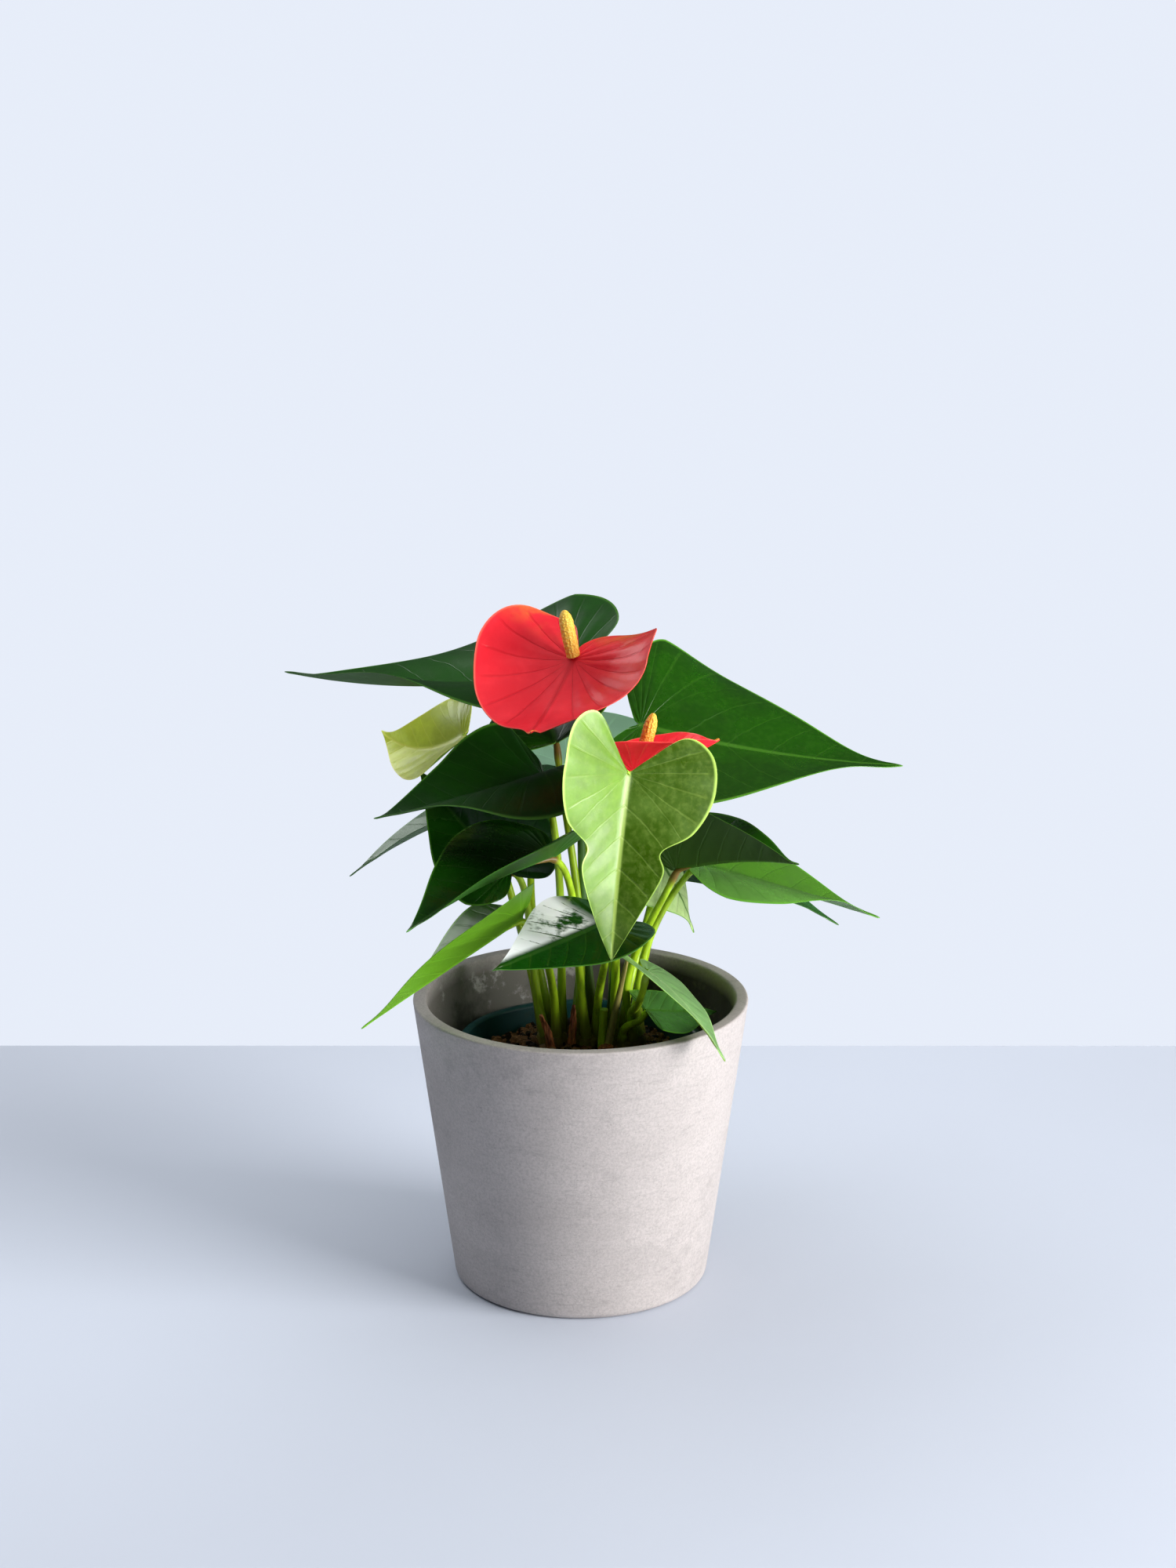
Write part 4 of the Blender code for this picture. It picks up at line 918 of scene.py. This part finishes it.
class BuildPlanter(bpy.types.Operator):
    """Turn the planter and the nursery pot, and round their edges"""

    bl_idname = "anthurium.planter"
    bl_label = "Planter"

    def execute(self, context):
        sizes = context.scene.anthurium_planter
        low, high = size_of("planter")
        top = 0.5 * (high[0] - low[0])
        height = high[2]
        foot, wall, floor = PLANTER_FOOT_RADIUS, PLANTER_WALL, PLANTER_FLOOR
        slope = (top - foot) / height
        rounding = sizes.rim_rounding
        inner = foot + slope * floor - wall
        corners = ((0, floor), (inner, floor), (top - wall, height), (top, height), (foot, 0), (0, 0))
        line = rounded(corners, (5.0, rounding, rounding, 3.0), 7)
        finer = [line[0]]
        for a, b in zip(line[:-1], line[1:]):
            steps = max(1, int(np.linalg.norm(b - a) / 6))
            finer.extend(a + (b - a) * k / steps for k in range(1, steps + 1))
        profile = np.array(finer)
        points, faces = turned(profile, sizes.segments)
        radius = np.hypot(points[:, 0], points[:, 1])
        outer = foot + slope * points[:, 2]
        inside = np.where((outer - radius > wall * 0.6) & (points[:, 2] > 1.0), 1.0, 0.0)
        inside = np.where(points[:, 2] > height - 2.0, 0.0, inside)
        piece("planter_shell", points, faces, stone_finish(tuple(sizes.stone)),
              ("planter",), values={"inside": inside}, sharp=60)
        self.nursery(sizes)
        return {"FINISHED"}

    def nursery(self, sizes):
        """Profile of the thin pot: up the inside wall, out over the lip, and down the outside."""
        low, high = size_of("nursery_pot")
        lip = 0.5 * (high[0] - low[0])
        top, bottom = high[2], low[2]
        rim = lip - 2.4
        base = NURSERY_BASE_RADIUS
        inside = base - NURSERY_WALL
        floor = bottom + NURSERY_WALL
        corners = (
            (0, floor), (inside, floor), (rim - 1.0, top - 1.0), (rim, top), (lip - 0.3, top),
            (lip, top - 4.5), (lip - 0.9, top - 4.5), (lip - 1.2, top - 1.2), (rim + 0.4, top - 1.8),
            (base, bottom + 2.0), (base - 1.5, bottom), (0, bottom),
        )
        line = rounded(corners, (1.0, 0.5, 0.4, 0.6, 0.3, 0.3, 0.4, 0.5, 0.6, 0.5), 4)
        points, faces = turned(line, sizes.segments)
        piece("nursery_shell", points, faces, plastic_finish(tuple(sizes.plastic)),
              ("nursery_pot",), sharp=50)


def mix_height(x, y):
    """Top of the mix: a mound that falls away to the edge by a smooth step, with low lumps."""
    distance = np.hypot(x - 4.0, y - 9.0)
    fall = np.clip((distance - 26.0) / 18.0, 0, 1)
    fall = fall * fall * (3 - 2 * fall)
    lumps = 0.8 * np.sin(0.41 * x + 1.0) * np.sin(0.37 * y + 2.0) * fall
    return 104.2 - 4.2 * fall + lumps


def granule_shapes(rng, middles, widths):
    """Small faceted stones: a coarse sphere, its rings stretched and its points pushed at random."""
    rings, sides = 4, 6
    polar = np.linspace(0, np.pi, rings + 2)[1:-1]
    around = np.linspace(0, 2 * np.pi, sides, endpoint=False)
    ball = np.stack([
        np.outer(np.sin(polar), np.cos(around)),
        np.outer(np.sin(polar), np.sin(around)),
        np.outer(np.cos(polar), np.ones(sides)),
    ], -1).reshape(-1, 3)
    ball = np.vstack([ball, [[0, 0, 1], [0, 0, -1]]])
    count = len(middles)
    push = 1 + 0.28 * (rng.random((count, len(ball), 1)) - 0.5)
    stretch = 1 + 0.5 * (rng.random((count, 1, 3)) - 0.5)
    turn = rng.normal(size=(count, 3, 3))
    turn, _ = np.linalg.qr(turn)
    turn *= np.sign(np.linalg.det(turn))[:, None, None]
    shapes = np.einsum("nij,npj->npi", turn, ball * push * stretch) * 0.5 * widths[:, None, None]
    points = (shapes + middles[:, None]).reshape(-1, 3)
    faces = ring_faces(rings, sides, rings * sides)
    return points, (faces[None] + (np.arange(count) * len(ball))[:, None, None]).reshape(-1, 3)


class BuildMix(bpy.types.Operator):
    """Fill the nursery pot with potting mix and scatter loose granules over it"""

    bl_idname = "anthurium.mix"
    bl_label = "Potting mix"

    def execute(self, context):
        sizes = context.scene.anthurium_mix
        low, high = size_of("potting_mix")
        reach = 0.5 * (high[0] - low[0])
        warm, dark = tuple(sizes.warm), tuple(sizes.dark)
        rings, segments = 30, 120
        radius = np.linspace(0, reach, rings + 1)[1:, None]
        angles = np.linspace(0, 2 * np.pi, segments, endpoint=False)
        x, y = radius * np.cos(angles), radius * np.sin(angles)
        rng = np.random.default_rng(MIX_SEED)
        z = mix_height(x, y) - 0.4 + 0.5 * (rng.random(x.shape) - 0.5)
        bottom = np.stack([x[-1] * 0.78, y[-1] * 0.78, np.full(segments, low[2])], -1)
        points = np.vstack([np.stack([x, y, z], -1).reshape(-1, 3), bottom, [[0, 0, 103.9], [0, 0, low[2]]]])
        faces = ring_faces(rings + 1, segments, len(points) - 2)
        piece("mix_bed", points, faces, soil_finish("finish_mix", toned(warm, 0.6), dark),
              ("potting_mix",), sharp=80)
        count = sizes.granules
        r = (reach - 1.5) * np.sqrt(rng.random(count))
        t = 2 * np.pi * rng.random(count)
        x, y = r * np.cos(t), r * np.sin(t)
        widths = sizes.granule_size / MM * (0.45 + 0.85 * rng.random(count))
        middles = np.stack([x, y, mix_height(x, y) + 0.1 * widths], 1)
        third = count // 3
        for name, part, light, deep in (
            ("mix_granules_tan", slice(0, 2 * third), warm, toned(warm, 0.45)),
            ("mix_granules_dark", slice(2 * third, count), toned(dark, 1.6), dark),
        ):
            points, faces = granule_shapes(rng, middles[part], widths[part])
            piece(name, points, faces, soil_finish("finish_" + name, light, deep), sharp=35)
        return {"FINISHED"}


def crown_middle(side):
    """Middle of a crown seen from above, and the height of its top."""
    low, high = size_of("crown_" + side)
    return 0.5 * (low + high)[:2], high[2]


class BuildStalks(bpy.types.Operator):
    """Grow the crowns, the petioles and flower stalks, the new shoot, the stub and the dry sheaths"""

    bl_idname = "anthurium.stalks"
    bl_label = "Crowns and stalks"

    def execute(self, context):
        green = tuple(context.scene.anthurium_plant.stalk)
        foot = (0.13, 0.12, 0.02)
        crown = stalk_finish("finish_crown", (0.20, 0.17, 0.03), (0.22, 0.10, 0.03), (0.12, 0.04, 0.02))
        plain = stalk_finish("finish_stalk", green, toned(green, 0.8), foot)
        red = stalk_finish("finish_stalk_red", green, (0.16, 0.06, 0.02), foot)
        dark = stalk_finish("finish_stalk_flower", (0.07, 0.17, 0.03), (0.12, 0.20, 0.04), foot)
        finishes = {"plain": plain, "red": red, "flower": dark}
        for side in CROWNS:
            self.crown(side, crown)
        blades = {blade.name: blade for blade in BLADES}
        for stalk in STALKS:
            kind = "red" if stalk.blade in RED_JOINTS else "plain"
            if stalk.blade.startswith("spathe"):
                kind = "flower"
            self.stalk(stalk, blades[stalk.blade], finishes[kind])
        self.small(plain)
        return {"FINISHED"}

    def crown(self, side, finish):
        """A lumpy stub: rings whose radius swells by sines of the angle, closed by a domed top."""
        low, high = size_of("crown_" + side)
        middle = 0.5 * (low + high)
        radius = 0.5 * (high[0] - low[0])
        height = high[2] - low[2] + 0.6
        count, sides = 16, 48
        share = np.linspace(0, 1, count)
        levels = low[2] - 1.0 + (height + 1.0) * share
        path = np.stack([np.full(count, middle[0]), np.full(count, middle[1]), levels], 1)
        angles = np.linspace(0, 2 * np.pi, sides, endpoint=False)
        swell = 1 + 0.05 * np.sin(5 * angles) + 0.04 * np.sin(9 * angles + 1)
        dome = np.sqrt(np.clip(1 - np.maximum(share - 0.55, 0) ** 2 / 0.36, 0, 1))
        radii = 0.94 * radius * dome[:, None] * swell[None]
        points, faces, values = tube(path, radii, sides)
        values["along"] = 0.05 + 0.3 * values["along"]
        piece("stem_base_" + side, points, faces, finish, ("crown_" + side,), values=values)

    def stalk(self, stalk, blade, finish):
        """A cubic curve up to the blade, then along the underside of its midrib, where it thins out.

        The foot is sheathed and wider, and the joint below the blade is a little swollen.
        """
        crown = CROWNS[stalk.crown]
        middle, top = crown_middle(stalk.crown)
        angle = math.radians(crown.first_angle + 360.0 * stalk.place / crown.places)
        ring = crown.ring_radius * np.array([math.cos(angle), math.sin(angle)])
        root = np.array([*(middle + ring), top - 1.0])
        _, forward, _, up = (part[0] for part in midrib_frame(blade, np.array([0.0])))
        end = np.asarray(blade.base, float) - 0.9 * up
        count, sides = 60, 16
        share = np.linspace(0, 1, count)
        path = cubic((root, stalk.lower, stalk.upper, end), share)
        reach = 0.12 * blade.length
        steps = np.linspace(0, 1, 10)[1:]
        under_rib = bent(blade, steps * reach, 0 * steps)
        _, _, _, ups = midrib_frame(blade, steps * reach)
        hook = under_rib - ups * (0.9 - 0.35 * steps)[:, None]
        path = np.vstack([path, hook])
        # The bend between the two is smoothed by averaging each point with its neighbours.
        first, last = count - 6, len(path) - 1
        for _ in range(3):
            beside = path[first - 1:last - 1] + path[first + 1:last + 1]
            path[first:last] = 0.25 * beside + 0.5 * path[first:last]
        along = np.concatenate([share, np.ones(len(steps))])
        radii = 2.0 - 0.55 * along
        radii += 0.7 * np.exp(-((along / 0.09) ** 2))
        radii += 0.28 * np.exp(-(((along - 0.955) / 0.028) ** 2))
        radii[count:] = 1.35 * (1 - 0.75 * steps)
        points, faces, values = tube(path, radii, sides)
        values["along"] = np.append(np.repeat(along, sides), [0.0, 1.0])
        name = stalk.blade.replace("leaf", "petiole").replace("spathe", "flower_stalk")
        piece(name + "_grown", points, faces, finish, (name,), values=values)

    def small(self, green):
        """Tapering pieces whose radius is pinched and frayed by sines along and round them."""
        dry = dry_finish()
        tan = stalk_finish("finish_shoot", (0.38, 0.34, 0.10), (0.30, 0.16, 0.05), (0.22, 0.16, 0.05))
        for node, finish, slot, ragged in (
            ("new_shoot", tan, "stalk_green", 0.1),
            ("cut_stub", green, "stalk_green", 0.08),
            ("dry_sheath_left", dry, "dry_brown", 0.5),
            ("dry_sheath_middle", dry, "dry_brown", 0.5),
            ("dry_sheath_right", dry, "dry_brown", 0.5),
        ):
            self.pointed(node, finish, slot, ragged)

    def pointed(self, node, finish, slot, ragged):
        """A tube along the middle of the node, found level by level from its points."""
        count, sides = 40, 20
        low, high = size_of(node)
        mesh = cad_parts[node].data
        places = np.empty(len(mesh.vertices) * 3, np.float32)
        mesh.vertices.foreach_get("co", places)
        places = places.reshape(-1, 3) / MM
        height = places[:, 2]
        levels = np.linspace(low[2] + 0.5, high[2] - 0.5, 8)
        near = np.exp(-(((height[None] - levels[:, None]) / (0.12 * (high[2] - low[2]))) ** 2))
        spine = (near[..., None] * places[None]).sum(1) / near.sum(1)[:, None]
        foot = places[height < low[2] + 1.0].mean(0)
        tip = places[height > high[2] - 1.0].mean(0)
        spine = np.vstack([foot, spine, tip])
        path = spline(spine[np.argsort(spine[:, 2])], count)
        share = np.linspace(0, 1, count)
        angles = np.linspace(0, 2 * np.pi, sides, endpoint=False)
        radius = 1.75 * (1 - 0.72 * share**2)
        if node == "cut_stub":
            radius = 2.0 * (1 - 0.08 * share)
        fray = 1 + ragged * (0.5 * np.sin(3 * angles[None] + 9 * share[:, None]) * (0.4 + share[:, None]))
        fray += 0.25 * ragged * np.sin(7 * angles[None] - 23 * share[:, None])
        points, faces, values = tube(path, radius[:, None] * fray, sides)
        piece(node + "_grown", points, faces, finish, (node,), values=values)


class BuildLeaves(bpy.types.Operator):
    """Build every leaf as a thin veined sheet"""

    bl_idname = "anthurium.leaves"
    bl_label = "Leaves"

    def execute(self, context):
        sizes = context.scene.anthurium_plant
        for blade in BLADES:
            if blade.outline == "spathe":
                continue
            look = LEAF_LOOKS[blade.name]
            points, faces, uv, values = sheet(
                blade, sizes.leaf_rows, sizes.leaf_columns, sizes.leaf_thickness / MM,
                sizes.vein_relief / MM, 0.02 * blade.half_width, LEAF_VEINS,
            )
            piece(blade.name + "_blade", points, faces, leaf_finish(blade, look),
                  (blade.name,), uv, values, sharp=75)
        return {"FINISHED"}


class BuildFlowers(bpy.types.Operator):
    """Build the two red spathes and their bumpy yellow spikes"""

    bl_idname = "anthurium.flowers"
    bl_label = "Flowers"

    def execute(self, context):
        sizes = context.scene.anthurium_plant
        for blade in BLADES:
            if blade.outline != "spathe":
                continue
            points, faces, uv, values = sheet(
                blade, sizes.leaf_rows + 20, sizes.leaf_columns + 8, BRACT_THICKNESS,
                BRACT_RELIEF, 0.03 * blade.half_width, 0,
            )
            piece(blade.name + "_bract", points, faces, spathe_finish(blade, SPATHE_LOOKS[blade.name]),
                  (blade.name,), uv, values, sharp=75)
        yellow = spadix_finish()
        for spadix in SPADICES:
            self.spadix(spadix, yellow)
        return {"FINISHED"}

    def spadix(self, spadix, finish):
        """A bowed spike with a round end, its surface lifted by florets on two crossing spirals.

        Radius = spike * (1 + small * cos(spiral one) * cos(spiral two)).
        """
        count, sides = 130, 72
        foot, top, radius = np.array(spadix.foot), np.array(spadix.top), spadix.radius
        share = np.linspace(0, 1, count)
        path = foot + (top - foot) * share[:, None]
        path[:, 1] -= spadix.bow * np.sin(np.pi * share)
        # The round end starts at the first share, and reaches so far that its last ring stays open.
        dome_start, dome_reach = 0.72, 0.2812
        past = np.maximum(share - dome_start, 0) / dome_reach
        radii = radius * np.sqrt(np.clip(1 - past**2, 0, 1)) * (0.93 + 0.07 * np.sin(np.pi * share))
        angles = np.linspace(0, 2 * np.pi, sides, endpoint=False)[None]
        length = np.linalg.norm(top - foot)
        climb = share[:, None] * length / radius * 1.9
        florets = np.cos(5 * angles + 2.2 * climb) * np.cos(6 * angles - 2.2 * climb)
        points, faces, values = tube(path, radii[:, None] * (1 + 0.045 * florets), sides)
        piece(spadix.name + "_spike", points, faces, finish, (spadix.name,), values=values)


class BuildStage(bpy.types.Operator):
    """Set the table, the soft lights, the pale space around and the camera"""

    bl_idname = "anthurium.stage"
    bl_label = "Stage"

    def execute(self, context):
        sizes = context.scene.anthurium_stage
        mesh = bpy.data.meshes.new("stage_table")
        wide, back, front = TABLE_REACH, TABLE_BACK, -TABLE_REACH
        corners = [(-wide, front, 0), (wide, front, 0), (wide, back, 0), (-wide, back, 0)]
        mesh.from_pydata(corners, [], [(0, 1, 2, 3)])
        mesh.materials.append(stage_finish("finish_table", tuple(sizes.table)))
        table = bpy.data.objects.new("stage_table", mesh)
        bpy.context.scene.collection.objects.link(table)
        self.world(tuple(sizes.wall))
        middle = (0.0, 0.0, 0.18)
        self.light("key_light", (1.45, -0.75, 0.55), middle, 1.0, sizes.key_power, (1.0, 0.98, 0.96))
        # Broad light on the table and a faint front fill, which show in no reflection.
        roof = self.light("roof_light", (-0.30, 0.45, 2.6), (-0.10, 0.0, 0.0), 3.0, 56.0, (0.98, 0.99, 1.0))
        roof.visible_glossy = False
        fill = self.light("front_fill", (0.3, -1.6, 0.9), (0.0, 0.0, 0.22), 1.2, 0.8, (1.0, 0.98, 0.95))
        fill.visible_glossy = False
        # A shine that shows only in reflections.
        shine = self.light("left_shine", (-1.0, 0.84, 0.95), (0.0, 0.0, 0.2), 0.9, 9.0, (0.97, 0.99, 1.0))
        shine.visible_diffuse = False
        data = bpy.data.cameras.new("camera")
        data.sensor_width = 36.0
        data.lens = CAMERA_LENS
        data.clip_start = 0.05
        data.clip_end = 50.0
        camera = bpy.data.objects.new("camera", data)
        camera.location = CAMERA_PLACE
        camera.rotation_euler = (math.radians(90 - CAMERA_TILT), 0.0, math.radians(CAMERA_TURN))
        bpy.context.scene.collection.objects.link(camera)
        bpy.context.scene.camera = camera
        bpy.context.scene.view_settings.view_transform = "Standard"
        return {"FINISHED"}

    def light(self, name, place, target, size, power, colour):
        """A square soft light at the place that faces the target: size in metres, power in watts."""
        data = bpy.data.lights.new(name, "AREA")
        data.shape = "SQUARE"
        data.size = size
        data.energy = power
        data.color = colour
        made = bpy.data.objects.new(name, data)
        made.location = place
        aim = Vector(target) - Vector(place)
        made.rotation_euler = aim.to_track_quat("-Z", "Y").to_euler()
        bpy.context.scene.collection.objects.link(made)
        return made

    def world(self, colour):
        """A pale even space, a little brighter towards the back than towards the front."""
        world = bpy.data.worlds.new("pale_space")
        world.use_nodes = True
        tree = world.node_tree
        sky = tree.nodes["Background"]
        source = tree.nodes.new("ShaderNodeTexCoord")
        split = tree.nodes.new("ShaderNodeSeparateXYZ")
        tree.links.new(source.outputs["Generated"], split.inputs["Vector"])
        facing = tree.nodes.new("ShaderNodeMapRange")
        facing.interpolation_type = "SMOOTHSTEP"
        facing.inputs["From Min"].default_value = -0.6
        facing.inputs["From Max"].default_value = 0.6
        tree.links.new(split.outputs["Y"], facing.inputs["Value"])
        blend = tree.nodes.new("ShaderNodeMix")
        blend.data_type = "RGBA"
        blend.inputs[6].default_value = (*toned(colour, 0.42), 1.0)
        blend.inputs[7].default_value = (*colour, 1.0)
        tree.links.new(facing.outputs["Result"], blend.inputs["Factor"])
        tree.links.new(blend.outputs[2], sky.inputs["Color"])
        # What lights the object is dimmer than what is seen behind it.
        path = tree.nodes.new("ShaderNodeLightPath")
        level = tree.nodes.new("ShaderNodeMapRange")
        level.inputs["To Min"].default_value = WORLD_LIGHT
        level.inputs["To Max"].default_value = 1.0
        tree.links.new(path.outputs["Is Camera Ray"], level.inputs["Value"])
        dull = tree.nodes.new("ShaderNodeMapRange")
        dull.inputs["To Min"].default_value = 1.0
        dull.inputs["To Max"].default_value = WORLD_SHINE
        tree.links.new(path.outputs["Is Glossy Ray"], dull.inputs["Value"])
        both = tree.nodes.new("ShaderNodeMath")
        both.operation = "MULTIPLY"
        tree.links.new(level.outputs["Result"], both.inputs[0])
        tree.links.new(dull.outputs["Result"], both.inputs[1])
        tree.links.new(both.outputs[0], sky.inputs["Strength"])
        bpy.context.scene.world = world


class AnthuriumPanel(bpy.types.Panel):
    """Lists the builders and their sizes"""

    bl_idname = "VIEW3D_PT_anthurium"
    bl_label = "Potted anthurium"
    bl_space_type = "VIEW_3D"
    bl_region_type = "UI"
    bl_category = "Anthurium"

    def draw(self, context):
        for group, builders in PANEL_ROWS:
            box = self.layout.box()
            sizes = getattr(context.scene, group)
            for key in sizes.__annotations__:
                box.prop(sizes, key)
            for builder in builders:
                box.operator(builder.bl_idname)


GROUPS = {
    "anthurium_planter": AnthuriumPlanter,
    "anthurium_mix": AnthuriumMix,
    "anthurium_plant": AnthuriumPlant,
    "anthurium_stage": AnthuriumStage,
}
PANEL_ROWS = (
    ("anthurium_planter", (BuildPlanter,)),
    ("anthurium_mix", (BuildMix,)),
    ("anthurium_plant", (BuildStalks, BuildLeaves, BuildFlowers)),
    ("anthurium_stage", (BuildStage,)),
)
BUILDERS = tuple(builder for _, builders in PANEL_ROWS for builder in builders)
CLASSES = (*GROUPS.values(), *BUILDERS, AnthuriumPanel)


def register():
    for item in CLASSES:
        bpy.utils.register_class(item)
    for name, group in GROUPS.items():
        setattr(bpy.types.Scene, name, PointerProperty(type=group))


def unregister():
    for name in GROUPS:
        delattr(bpy.types.Scene, name)
    for item in reversed(CLASSES):
        bpy.utils.unregister_class(item)


def main():
    register()
    bpy.ops.anthurium.planter()
    bpy.ops.anthurium.mix()
    bpy.ops.anthurium.stalks()
    bpy.ops.anthurium.leaves()
    bpy.ops.anthurium.flowers()
    bpy.ops.anthurium.stage()


if __name__ == "__main__":
    main()
